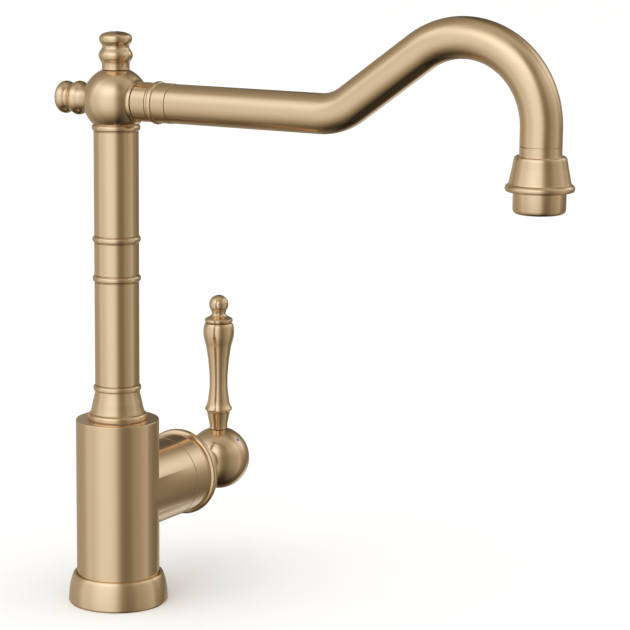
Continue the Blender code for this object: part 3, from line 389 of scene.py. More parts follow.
RAW_BRASS = BrushedMetal(
    "raw_brass_turned", "raw_brass", light=(0.80, 0.60, 0.30), dark=(0.62, 0.44, 0.18),
    roughness=0.34,
)
ZINC = BrushedMetal(
    "zinc_turned", "zinc_steel", light=(0.66, 0.67, 0.68), dark=(0.50, 0.51, 0.53), roughness=0.36
)
RUBBER = Moulded(
    "black_rubber_moulded", "black_rubber", light=(0.035, 0.035, 0.035), dark=(0.02, 0.02, 0.02),
    roughness=0.7,
)
ACETAL = Moulded("white_acetal", "white_plastic")
ALUMINA = Moulded(
    "alumina_lapped", "alumina", light=(0.9, 0.89, 0.85), dark=(0.84, 0.83, 0.79), roughness=0.2
)
BLUE = Moulded(
    "blue_enamel_drop", "blue_enamel", ENAMEL_COAT, (0.07, 0.10, 0.62), (0.05, 0.07, 0.45), 0.2
)
RED = Moulded(
    "red_enamel_drop", "red_enamel", ENAMEL_COAT, (0.62, 0.04, 0.04), (0.45, 0.02, 0.02), 0.2
)
FLOOR = Moulded(
    "pale_floor", "", (("Specular IOR Level", 0.15),), (0.86, 0.865, 0.87), (0.85, 0.855, 0.86),
    0.6, pitch=300.0,
)


# Modelling with the operators


@dataclass
class Outline:
    """The outline of a turned piece, drawn as (radius, height) from a starting corner."""

    corners: list[tuple[float, float, float]] = field(default_factory=list)

    def to(self, radius: float, height: float, fillet: float = 0.0) -> "Outline":
        """A straight line to a corner, which may be rounded."""
        self.corners.append((radius, height, fillet))
        return self

    def arc(self, radius: float, height: float, bulge: float, steps: int = 12) -> "Outline":
        """An arc to a point.

        Args:
            radius: the end's radius.
            height: the end's height.
            bulge: how far the arc's middle stands out from the chord. It is positive on the left
                of the way the line runs.
            steps: the number of pieces of the arc.

        Returns:
            The outline.
        """
        r0, z0, _ = self.corners[-1]
        chord = math.hypot(radius - r0, height - z0)
        bend = (chord**2 / 4 + bulge**2) / (2 * abs(bulge))
        half = math.asin(min(1.0, chord / 2 / bend))
        if abs(bulge) > bend:
            half = math.pi - half
        across = (-(height - z0) / chord, (radius - r0) / chord)
        for i in range(1, steps):
            angle = half * (2 * i / steps - 1)
            share = 0.5 + bend * math.sin(angle) / chord
            out = math.copysign(bend * (math.cos(angle) - math.cos(half)), bulge)
            self.to(
                r0 + (radius - r0) * share + across[0] * out,
                z0 + (height - z0) * share + across[1] * out,
            )
        return self.to(radius, height)

    def curve(self, points: Sequence[Point], steps: int = 5) -> "Outline":
        """A smooth curve through points, from the last corner to the last of them.

        Args:
            points: (radius, height) of each point.
            steps: the number of pieces between two points.

        Returns:
            The outline.
        """
        knots = [self.corners[-1][:2], *points]
        knots = [knots[0], *knots, knots[-1]]
        for a, b, c, d in zip(knots, knots[1:], knots[2:], knots[3:]):
            for i in range(1, steps + 1):
                t = i / steps
                self.to(*(
                    0.5 * (2 * q + (r - p) * t + (2 * p - 5 * q + 4 * r - s) * t**2
                           + (3 * q - p - 3 * r + s) * t**3)
                    for p, q, r, s in zip(a, b, c, d)
                ))
        return self

    def ball(
        self, centre: float, radius: float, start: float, end: float, steps: int
    ) -> "Outline":
        """A stretch of a ball between two angles from the upward axis.

        Args:
            centre: the ball's height.
            radius: its radius.
            start: the first angle.
            end: the last angle.
            steps: the number of pieces.

        Returns:
            The outline.
        """
        for i in range(steps + 1):
            angle = start + (end - start) * i / steps
            self.to(max(0.0, radius * math.sin(angle)), centre + radius * math.cos(angle))
        return self

    def bead(
        self, radius: float, low: float, high: float, proud: float, squareness: float, steps: int
    ) -> "Outline":
        """A round bead, drawn downwards.

        Args:
            radius: the radius that it stands out from.
            low: its lower edge.
            high: its upper edge.
            proud: how far it stands out.
            squareness: 1 for a round bead, less for a squarer one.
            steps: the number of pieces.

        Returns:
            The outline.
        """
        for i in range(1, steps):
            angle = math.pi * i / steps
            out = proud * math.sin(angle) ** squareness
            self.to(radius + out, (low + high) / 2 + (high - low) / 2 * math.cos(angle))
        return self

    def close(self) -> "Outline":
        """Back to the starting corner, for a piece with a hole along its axis."""
        return self.to(*self.corners[0])

    def points(self) -> list[Point]:
        """The outline's points, with its corners rounded.

        Returns:
            (radius, height) of each point.
        """
        made: list[Point] = []
        ends = self.corners
        shut = math.dist(ends[0][:2], ends[-1][:2]) < 1e-6
        for i, (r, z, fillet) in enumerate(ends):
            before = ends[i - 1] if i else (ends[-2] if shut else None)
            after = ends[i + 1] if i + 1 < len(ends) else (ends[1] if shut else None)
            if fillet <= 0 or before is None or after is None:
                made.append((r, z))
                continue
            made += self._rounded(Vector(before[:2]), Vector((r, z)), Vector(after[:2]), fillet)
        if shut:
            made.append(made[0])
        return made

    @staticmethod
    def _rounded(before: Vector, corner: Vector, after: Vector, fillet: float) -> list[Point]:
        """The arc that rounds a corner, with a short straight run held on each side.

        Args:
            before: the corner before it.
            corner: the corner.
            after: the corner after it.
            fillet: the arc's radius.

        Returns:
            The arc's points.
        """
        back, ahead = (before - corner), (after - corner)
        turn = math.pi - back.angle(ahead)
        reach = min(fillet * math.tan(turn / 2), 0.48 * back.length, 0.48 * ahead.length)
        start, end = corner + back.normalized() * reach, corner + ahead.normalized() * reach
        radius = reach / math.tan(turn / 2)
        inward = (back.normalized() + ahead.normalized()).normalized()
        centre = corner + inward * math.hypot(radius, reach)
        steps = max(3, round(turn / math.radians(15)))
        made = [tuple(start + back.normalized() * min(reach * 0.5, 0.04))]
        first = (start - centre).normalized()
        last = (end - centre).normalized()
        for i in range(steps + 1):
            made.append(tuple(centre + first.slerp(last, i / steps) * radius))
        made.append(tuple(end + ahead.normalized() * min(reach * 0.5, 0.04)))
        return made


def metres(*lengths: float) -> tuple[float, ...]:
    """Lengths in millimetres as metres."""
    return tuple(length * MM for length in lengths)


def deselect() -> None:
    """Leaves edit mode and selects nothing."""
    if bpy.context.object and bpy.context.object.mode != "OBJECT":
        bpy.ops.object.mode_set(mode="OBJECT")
    bpy.ops.object.select_all(action="DESELECT")


def take(piece: Piece) -> None:
    """Selects one piece alone.

    Args:
        piece: the piece.
    """
    deselect()
    piece.select_set(True)
    bpy.context.view_layer.objects.active = piece


def tidy_mesh(piece: Piece) -> None:
    """Merges doubled points and turns every face outwards.

    Args:
        piece: the piece.
    """
    take(piece)
    bpy.ops.object.mode_set(mode="EDIT")
    bpy.ops.mesh.select_all(action="SELECT")
    bpy.ops.mesh.remove_doubles(threshold=0.0005 * MM)
    bpy.ops.mesh.normals_make_consistent(inside=False)
    bpy.ops.object.mode_set(mode="OBJECT")


def turned(
    name: str,
    outline: Outline,
    place: Place = ORIGIN,
    facing: Facing = Facing.UP,
    steps: int = FINE_TURN,
    tilt: Optional[Sequence[float]] = None,
) -> Piece:
    """Turns a piece on the lathe.

    Args:
        name: the piece's name.
        outline: its outline.
        place: where the outline's zero height lies.
        facing: the way its axis points.
        steps: the number of facets round it.
        tilt: the turn of its axis where that isn't one of the facings.

    Returns:
        The piece, at the origin, with its place in its mesh.
    """
    points = [metres(*point) for point in outline.points()]
    deselect()
    bpy.ops.mesh.primitive_circle_add(vertices=3, radius=MM, location=(0, 0, 0))
    piece = bpy.context.object
    piece.name = piece.data.name = name
    bpy.ops.object.mode_set(mode="EDIT")
    bpy.ops.mesh.select_all(action="SELECT")
    bpy.ops.mesh.merge(type="CENTER")
    bpy.ops.transform.translate(value=(points[0][0], 0, points[0][1]))
    for (r0, z0), (r1, z1) in zip(points, points[1:]):
        bpy.ops.mesh.extrude_region_move(TRANSFORM_OT_translate={"value": (r1 - r0, 0, z1 - z0)})
    bpy.ops.mesh.select_all(action="SELECT")
    bpy.ops.mesh.spin(steps=steps, angle=2 * math.pi, center=(0, 0, 0), axis=(0, 0, 1))
    tidy_mesh(piece)
    piece.rotation_euler = tilt or facing.value
    piece.location = metres(*place)
    bpy.ops.object.transform_apply(location=True, rotation=True, scale=True)
    return piece


def bar(
    name: str, radius: float, low: float, high: float, place: Place = ORIGIN,
    facing: Facing = Facing.UP, steps: int = PLAIN_TURN, tilt: Optional[Sequence[float]] = None,
) -> Piece:
    """A plain round bar, used as a cutter or joined to a piece.

    Args:
        name: the bar's name.
        radius: its radius.
        low: its lower end.
        high: its upper end.
        place: where its zero height lies.
        facing: the way its axis points.
        steps: the number of facets round it.
        tilt: its turn where that isn't one of the facings.

    Returns:
        The bar.
    """
    shape = Outline().to(0, high).to(radius, high).to(radius, low).to(0, low)
    return turned(name, shape, place, facing, steps, tilt)


def combine(piece: Piece, other: Piece, operation: str = "DIFFERENCE") -> None:
    """Cuts another shape from a piece, or joins it, and removes the other shape.

    Args:
        piece: the piece that stays.
        other: the shape that is used up.
        operation: DIFFERENCE, UNION or INTERSECT.
    """
    take(piece)
    step = piece.modifiers.new("cut", "BOOLEAN")
    step.operation = operation
    step.solver = "EXACT"
    step.object = other
    bpy.ops.object.modifier_apply(modifier=step.name)
    bpy.data.objects.remove(other, do_unlink=True)


def slice_off(piece: Piece, point: Place, away: Place) -> None:
    """Cuts a piece at a plane and closes the cut. What lies on the away side goes.

    Args:
        piece: the piece.
        point: a point on the plane.
        away: the direction of what goes.
    """
    take(piece)
    bpy.ops.object.mode_set(mode="EDIT")
    bpy.ops.mesh.select_all(action="SELECT")
    bpy.ops.mesh.bisect(plane_co=metres(*point), plane_no=away, use_fill=True, clear_outer=True)
    bpy.ops.object.mode_set(mode="OBJECT")


def hand_in(piece: Piece, finish: Finish, body: str, node: str) -> None:
    """Smooths and dresses a finished piece, hangs it on its body and hides the frame node that it
    stands for.

    Args:
        piece: the piece.
        finish: its finish.
        body: the body it moves with.
        node: the frame's node that it replaces.
    """
    take(piece)
    bpy.ops.object.shade_smooth_by_angle(angle=CREASE)
    piece.data.materials.clear()
    piece.data.materials.append(finish.material())
    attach(piece, body)
    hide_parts(node)
    LOG.info("%s rides on %s", piece.name, body)


def gilded(
    name: str, shape: Outline, body: str, node: str, place: Place = ORIGIN,
    facing: Facing = Facing.UP, steps: int = FINE_TURN,
) -> None:
    """Turns a gold piece, brushed round its axis, and hands it in."""
    hand_in(turned(name, shape, place, facing, steps), gold(GRAIN_OF[facing]), body, node)


def span(node: str, axis: int) -> tuple[float, float]:
    """A frame node's lowest and highest place along an axis."""
    low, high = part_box(node)
    return low[axis] / MM, high[axis] / MM


def halfway(node: str, axis: int) -> float:
    """A frame node's middle along an axis."""
    return sum(span(node, axis)) / 2


# Sub-assemblies


@dataclass
class Foot:
    """The flared foot on the worktop."""

    body_radius: float = 25.0
    plate: float = 5.0
    lip: float = 1.6
    skirt: tuple[Point, ...] = (
        (27.6, 16.3), (28.35, 13.8), (28.95, 11.3),
        (29.4, 8.7), (29.72, 6.2), (29.9, 3.7),
    )
    holes: tuple[tuple[float, float, float], ...] = (
        (11.5, 0.0, 4.3), (-5.0, 8.5, 6.5), (-5.0, -8.5, 6.5),
    )

    def build(self) -> None:
        """The skirt with its base plate and the holes in it."""
        _, top = span("base_flange", 2)
        outer = span("base_flange", 0)[1]
        gasket_in, gasket_out = 26.2, 28.7
        bore = self.body_radius + FIT
        shape = Outline().to(0, self.plate).to(bore, self.plate).to(bore, top, 0.2)
        shape.to(bore + self.lip, top, 0.35).curve([*self.skirt, (outer, 1.1)])
        shape.to(outer - 0.5, 0, 0.2).to(gasket_out, 0).to(gasket_out, 1.7)
        shape.to(gasket_in, 1.7).to(gasket_in, 0).to(0, 0)
        skirt = turned("flared_foot", shape)
        for i, (x, y, radius) in enumerate(self.holes):
            combine(skirt, bar(f"hole_{i}", radius, -1.0, 2 * self.plate, (x, y, 0)))
        hand_in(skirt, gold(), "base", "base_flange")


@dataclass
class Body:
    """The upright body with the branch that carries the handle."""

    radius: float = 25.0
    wall: float = 2.7
    edge: float = 0.7
    branch_radius: float = 24.9
    branch_length: float = 49.9
    neck_radius: float = 22.1
    neck_length: float = 11.3
    branch_bore: float = 20.6
    top_wall: float = 4.5
    swivel_hole: float = 14.4
    glide_seat: float = 17.6
    glide_depth: float = 0.9

    def build(self, handle_height: float) -> None:
        """The casting, bored through from below, above and from the side.

        Args:
            handle_height: the handle axis's height.
        """
        low, top = span("body_shell", 2)
        shape = Outline().to(0, top).to(self.radius, top, self.edge).to(self.radius, low, 0.3)
        casting = turned("body_casting", shape.to(0, low), steps=160)
        end = self.branch_length + self.neck_length
        side = Outline().to(0, end).to(self.neck_radius, end, 0.4)
        side.to(self.neck_radius, self.branch_length)
        side.to(self.branch_radius, self.branch_length, 0.25).to(self.branch_radius, 0).to(0, 0)
        axis = (0, 0, handle_height)
        combine(casting, turned("branch", side, axis, Facing.ALONG_X, 160), "UNION")
        inner = self.radius - self.wall
        seat, shoulder = top - self.glide_depth, top - self.top_wall
        bore = Outline().to(0, top + 1.0).to(self.glide_seat, top + 1.0).to(self.glide_seat, seat)
        bore.to(self.swivel_hole, seat).to(self.swivel_hole, shoulder)
        bore.to(inner, shoulder).to(inner, 0).to(0, 0)
        combine(casting, turned("bore", bore))
        combine(casting, bar("side_bore", self.branch_bore, 0, 90, axis, Facing.ALONG_X, 96))
        height = halfway("swivel_grub_screw", 2)
        reach = self.radius + 1.0
        combine(casting, bar("grub", 2.6, 13, reach, (0, 0, height), Facing.ALONG_Y, 32))
        hand_in(casting, gold(), "base", "body_shell")


@dataclass
class HandleHousing:
    """The fixed trim round the cartridge: bonnet, rim and dome."""

    radius: float = 24.95
    bore: float = 22.5
    rim_radius: float = 27.1
    dome_radius: float = 22.0
    dome_wall: float = 1.7
    dome_opening: float = math.radians(33)

    def build(self, handle_height: float, pivot: float) -> None:
        """Makes the three pieces.

        Args:
            handle_height: the handle axis's height.
            pivot: where on it the handle tilts.
        """
        axis = (0, 0, handle_height)
        start, end = span("housing_bonnet", 0)
        shape = Outline().to(self.bore, end).to(self.radius, end, 0.35)
        shape.to(self.radius, start, 0.2).to(self.bore, start).close()
        gilded("bonnet_band", shape, "base", "housing_bonnet", axis, Facing.ALONG_X)
        start, end = span("housing_rim", 0)
        shape = Outline().to(self.bore, start).to(self.bore, end, 0.2)
        shape.to(self.rim_radius - 1.1, end).curve([
            (self.rim_radius - 0.3, end - 0.5), (self.rim_radius, end - 1.4),
            (self.rim_radius - 0.05, end - 2.7), (self.rim_radius - 0.45, end - 3.6),
            (self.rim_radius - 1.3, end - 4.2), (self.radius, end - 4.5),
        ])
        shape.to(self.radius, start + 0.15).to(self.radius - 0.2, start).close()
        gilded("rim_band", shape, "base", "housing_rim", axis, Facing.ALONG_X)
        back = span("dome_cover", 0)[0]
        inner = self.dome_radius - self.dome_wall
        shape = Outline().ball(pivot, self.dome_radius, self.dome_opening, math.pi / 2, 24)
        shape.to(self.dome_radius, back).to(inner, back)
        shape.ball(pivot, inner, math.pi / 2, self.dome_opening, 24).close()
        gilded("fixed_dome", shape, "base", "dome_cover", axis, Facing.ALONG_X)


@dataclass
class Handle:
    """What the hand moves: bell, ball with its two dots, vase-shaped lever and cap."""

    ball_radius: float = 19.9
    bell_inner: float = 22.5
    bell_outer: float = 24.9
    bell_edge: float = math.radians(54)
    neck_radius: float = 7.5
    stem_hole: float = 4.3
    rod_hole: float = 2.7
    screw_hole: float = 2.6
    dot_radius: float = 1.1
    dot_angle: float = math.radians(42)
    vase: tuple[Point, ...] = (
        (9.85, 147.4), (9.62, 145.1), (8.95, 142.2), (8.2, 139.4), (7.6, 136.15), (7.1, 132.9),
        (6.67, 129.6), (6.33, 126.35), (6.05, 123.1), (5.84, 119.8), (5.76, 116.5), (5.78, 113.2),
        (5.98, 110.0), (6.38, 106.7), (6.85, 103.4), (7.3, 101.3), (7.85, 99.9), (8.45, 98.8),
    )

    def build(self, handle_height: float, pivot: float, ball_x: float) -> None:
        """Makes the handle's pieces.

        Args:
            handle_height: the handle axis's height.
            pivot: where on it the handle tilts.
            ball_x: where on it the ball's centre is.
        """
        axis = (0, 0, handle_height)
        centre = (ball_x, 0, handle_height)
        flat = ball_x - math.sqrt(self.ball_radius**2 - self.neck_radius**2)
        hub_end = span("handle_bell", 0)[1]
        shape = Outline().to(self.stem_hole, hub_end).to(self.neck_radius, hub_end, 0.2)
        shape.to(self.neck_radius, pivot + self.bell_outer + 0.6)
        start = math.asin((self.neck_radius + 1.6) / self.bell_outer)
        shape.ball(pivot, self.bell_outer, start, self.bell_edge, 14)
        end = math.asin(self.stem_hole / self.bell_inner)
        shape.ball(pivot, self.bell_inner, self.bell_edge, end, 14)
        gilded("lever_bell", shape.close(), "handle", "handle_bell", axis, Facing.ALONG_X)
        self._ball(axis, centre, flat, pivot)
        self._lever(centre)

    def _ball(self, axis: Place, centre: Place, flat: float, pivot: float) -> None:
        """The ball, drilled for the stem, the lever's rod, the screw and the dots.

        Args:
            axis: the start of the handle's axis.
            centre: the ball's centre.
            flat: where the flat towards the bell lies.
            pivot: where the handle tilts.
        """
        foot = span("lever", 2)[0] - FIT - centre[2]
        start = math.acos(min(1.0, foot / self.ball_radius))
        shape = Outline().to(0, foot).ball(0, self.ball_radius, start, math.pi, 56)
        ball = turned("lever_ball", shape, centre)
        slice_off(ball, (flat, 0, centre[2]), (-1, 0, 0))
        depth = span("cartridge_stem", 0)[1] + FIT
        combine(ball, bar("stem", self.stem_hole, pivot, depth, axis, Facing.ALONG_X, 48))
        rod = span("lever_rod", 2)[0] - FIT - centre[2]
        combine(ball, bar("rod", self.rod_hole, rod, self.ball_radius + 1.0, centre, steps=32))
        place = (halfway("handle_set_screw", 0), 0, centre[2])
        combine(ball, bar("screw", self.screw_hole, -self.ball_radius - 1.0, 0, place, steps=32))
        for name, node, side, finish in (
            ("cold_mark", "cold_dot", 1, BLUE), ("hot_mark", "hot_dot", -1, RED)
        ):
            tilt = (side * (math.pi / 2 - self.dot_angle), 0, 0)
            depth = self.ball_radius - 1.6
            wide, reach = self.dot_radius + 0.05, self.ball_radius + 1.0
            combine(ball, bar(name, wide, depth, reach, centre, steps=SMALL_TURN, tilt=tilt))
            top = self.ball_radius - 0.03
            shape = Outline().to(0, top).arc(self.dot_radius, top - 0.16, 0.06, 6)
            shape.to(self.dot_radius, depth + FIT).to(0, depth + FIT)
            mark = turned(name, shape, centre, steps=SMALL_TURN, tilt=tilt)
            hand_in(mark, finish, "handle", node)
        hand_in(ball, gold(), "handle", "handle_ball")

    def _lever(self, centre: Place) -> None:
        """The vase and its cap.

        Args:
            centre: the ball's centre.
        """
        base = centre[2]
        low, high = span("lever", 2)
        low, high = low - base, high - base
        vase = [(r, z - base) for r, z in self.vase]
        shape = Outline().to(self.rod_hole, high).to(8.5, high, 0.15).to(8.75, high - 0.25)
        shape.curve([(9.3, high - 1.4), (9.66, high - 2.9), (9.85, high - 4.7), *vase])
        ring = 98.0 - base
        shape.to(8.72, ring + 0.25, 0.25).to(8.72, ring - 0.45, 0.3)
        shape.to(7.75, ring - 1.35, 0.25)
        shape.curve([
            (7.3, ring - 2.7), (6.8, ring - 5.0), (6.28, ring - 7.6), (5.8, ring - 10.2),
            (5.72, ring - 11.6), (5.75, low),
        ])
        shape.to(self.rod_hole, low).close()
        gilded("lever_vase", shape, "handle", "lever", centre, steps=96)
        low, top = (z - base for z in span("lever_cap", 2))
        knob = 6.15
        middle = top - knob
        rod_end = span("lever_rod", 2)[1] + FIT - base
        shape = Outline().ball(middle, knob, 0.0, math.radians(128), 26)
        shape.curve([
            (4.45, low + 6.1), (4.7, low + 5.2), (5.6, low + 4.2), (7.0, low + 3.4),
            (8.3, low + 2.7),
        ])
        shape.to(8.9, low + 2.2, 0.5).to(8.9, low + 0.9, 0.5).to(8.3, low, 0.3)
        shape.to(self.rod_hole, low).to(self.rod_hole, rod_end).to(0, rod_end)
        gilded("lever_cap_knob", shape, "handle", "lever_cap", centre, steps=96)


@dataclass
class Column:
    """The swivelling column with its collar and bands."""

    radius: float = 13.3
    bore: float = 11.6
    joint: float = 11.3
    water_bore: float = 8.6
    spigot: float = 14.0
    bead_half: float = 1.95
    bead_proud: float = 1.05
    joint_length: float = 6.0
    room: float = 0.35

    def build(self) -> None:
        """Makes the collar, the tubes and the bands."""
        self._collar()
        for name, node in (
            ("column_lower", "lower_column_tube"), ("column_middle", "middle_column_tube"),
            ("column_upper", "upper_column_tube"),
        ):
            low, high = span(node, 2)
            shape = Outline().to(self.bore, high).to(self.radius, high, 0.15)
            shape.to(self.radius, low, 0.15).to(self.bore, low).close()
            gilded(name, shape, "spout", node)
        for name, node in (
            ("band_lower", "lower_column_ring"), ("band_upper", "upper_column_ring")
        ):
            low, high = span(node, 2)
            middle = (low + high) / 2
            shape = Outline().to(self.water_bore, high).to(self.joint, high, 0.3)
            shape.to(self.joint, middle + self.bead_half)
            self._bead(shape, middle)
            shape.to(self.joint, middle - self.bead_half).to(self.joint, low, 0.3)
            shape.to(self.water_bore, low).close()
            gilded(name, shape, "spout", node)
        low, high = span("neck_ring", 2)
        shape = Outline().to(self.bore, high)
        self._bead(shape, (low + high) / 2)
        shape.to(self.bore, low).close()
        gilded("band_neck", shape, "spout", "neck_ring")

    def _bead(self, shape: Outline, middle: float) -> None:
        """A round band between two tubes, whose lips are flush with them.

        Args:
            shape: the outline that it is added to, drawn downwards.
            middle: the band's height.
        """
        low, high = middle - self.bead_half, middle + self.bead_half
        shape.to(self.radius, high, 0.1).to(self.radius, high - 0.3)
        shape.bead(self.radius, low + 0.3, high - 0.3, self.bead_proud, 0.75, 14)
        shape.to(self.radius, low + 0.3).to(self.radius, low, 0.1)

    def _collar(self) -> None:
        """The conical collar with its foot above the body and its spigot inside it."""
        low, high = span("column_collar", 2)
        foot = 113.25
        bead = high - self.joint_length - self.bead_half
        shape = Outline().to(self.water_bore, high).to(self.joint, high, 0.3)
        shape.to(self.joint, bead + self.bead_half)
        self._bead(shape, bead)
        shape.to(13.35, bead - self.bead_half - 0.35)
        shape.curve([
            (13.75, foot + 14.6), (14.25, foot + 12.4), (14.85, foot + 9.9),
            (15.35, foot + 7.5), (15.75, foot + 5.8), (16.05, foot + 4.7),
        ])
        shape.to(16.15, foot + 4.0, 0.3).to(16.45, foot + 3.75)
        shape.arc(17.95, foot + 1.2, 0.55)
        shape.to(18.0, foot + 0.5, 0.2).to(17.7, foot, 0.2).to(self.spigot, foot)
        for node, floor in (
            ("upper_o_ring", 12.6), ("swivel_grub_screw", 12.7), ("lower_o_ring", 12.6)
        ):
            bottom, top = span(node, 2)
            shape.to(self.spigot, top + self.room).to(floor, top + self.room)
            shape.to(floor, bottom - self.room).to(self.spigot, bottom - self.room)
        shape.to(self.spigot, low, 0.3).to(self.water_bore, low).close()
        gilded("collar_cone", shape, "spout", "column_collar")


@dataclass
class Head:
    """The ball on the column with its two finials."""

    radius: float = 19.5
    finial_neck: float = 8.1
    boss_radius: float = 11.55
    boss_reach: float = 17.0
    nipple_hole: float = 8.7
    spigot: float = 11.3
    water_bore: float = 8.6
    stud: float = 2.7
    finial: tuple[Point, ...] = (
        (10.04, 13.3), (9.98, 14.2), (9.56, 15.35), (8.83, 16.45), (8.05, 17.6), (7.87, 18.5),
        (8.02, 19.4), (8.75, 20.5), (9.42, 21.7), (9.65, 23.0), (9.5, 24.1), (9.1, 25.0),
        (8.15, 25.85), (5.9, 26.75), (3.0, 27.3), (0.4, 27.45),
    )

    def build(self, centre: Place) -> None:
        """Makes the ball and the finials.

        Args:
            centre: the ball's centre.
        """
        seat = span("neck_ring", 2)[1] + FIT - centre[2]
        flat = math.sqrt(self.radius**2 - self.finial_neck**2)
        rear = math.pi - math.asin(self.finial_neck / self.radius)
        meet = math.asin((self.boss_radius + 1.0) / self.radius)
        shape = Outline().to(0, self.boss_reach).to(self.boss_radius, self.boss_reach, 0.25)
        shape.to(self.boss_radius + 0.1, self.boss_reach - 0.7)
        shape.ball(0, self.radius, meet, rear, 52)
        shape.to(self.stud, -flat).to(self.stud, -flat + 6.6).to(0, -flat + 6.6)
        ball = turned("head_sphere", shape, centre, Facing.ALONG_MINUS_Y)
        slice_off(ball, (0, 0, centre[2] + seat), (0, 0, -1))
        slice_off(ball, (0, 0, centre[2] + flat), (0, 0, 1))
        low = span("head_ball", 2)[0] - centre[2]
        combine(ball, bar("spigot", self.spigot, low, seat + 3, centre, steps=FINE_TURN), "UNION")
        combine(ball, bar("riser", self.water_bore, low - 1.0, 4, centre, steps=PLAIN_TURN))
        reach = self.boss_reach + 1.0
        nipple = bar("nipple", self.nipple_hole, -4.3, reach, centre, Facing.ALONG_MINUS_Y)
        combine(ball, nipple)
        combine(ball, bar("stud", self.stud, flat - 6.3, flat + 1.0, centre, steps=SMALL_TURN))
        hand_in(ball, gold(Grain.ROUND_Y), "spout", "head_ball")
        self._finials(centre, flat + FIT)

    def _finials(self, centre: Place, seat: float) -> None:
        """The double-lobed knobs on plain necks, on top of the ball and behind it.

        Args:
            centre: the ball's centre.
            seat: how far from it their seats lie.
        """
        up = -1.1
        shape = Outline().to(0, seat - 6).to(2.4, seat - 6).to(2.4, seat)
        shape.to(self.finial_neck + 0.15, seat, 0.1)
        shape.to(self.finial_neck, seat + 0.8).to(self.finial_neck, up + 22.0)
        lobes = [(r, up + z + 13.85) for r, z in self.finial]
        shape.curve([(8.35, up + 23.2), (8.9, up + 24.25), (9.65, up + 25.6), *lobes], steps=4)
        shape.to(0, up + 41.32)
        gilded("finial_top", shape, "spout", "top_finial", centre, Facing.UP, 96)
        gilded("finial_rear", shape, "spout", "rear_finial", centre, Facing.ALONG_Y, 96)


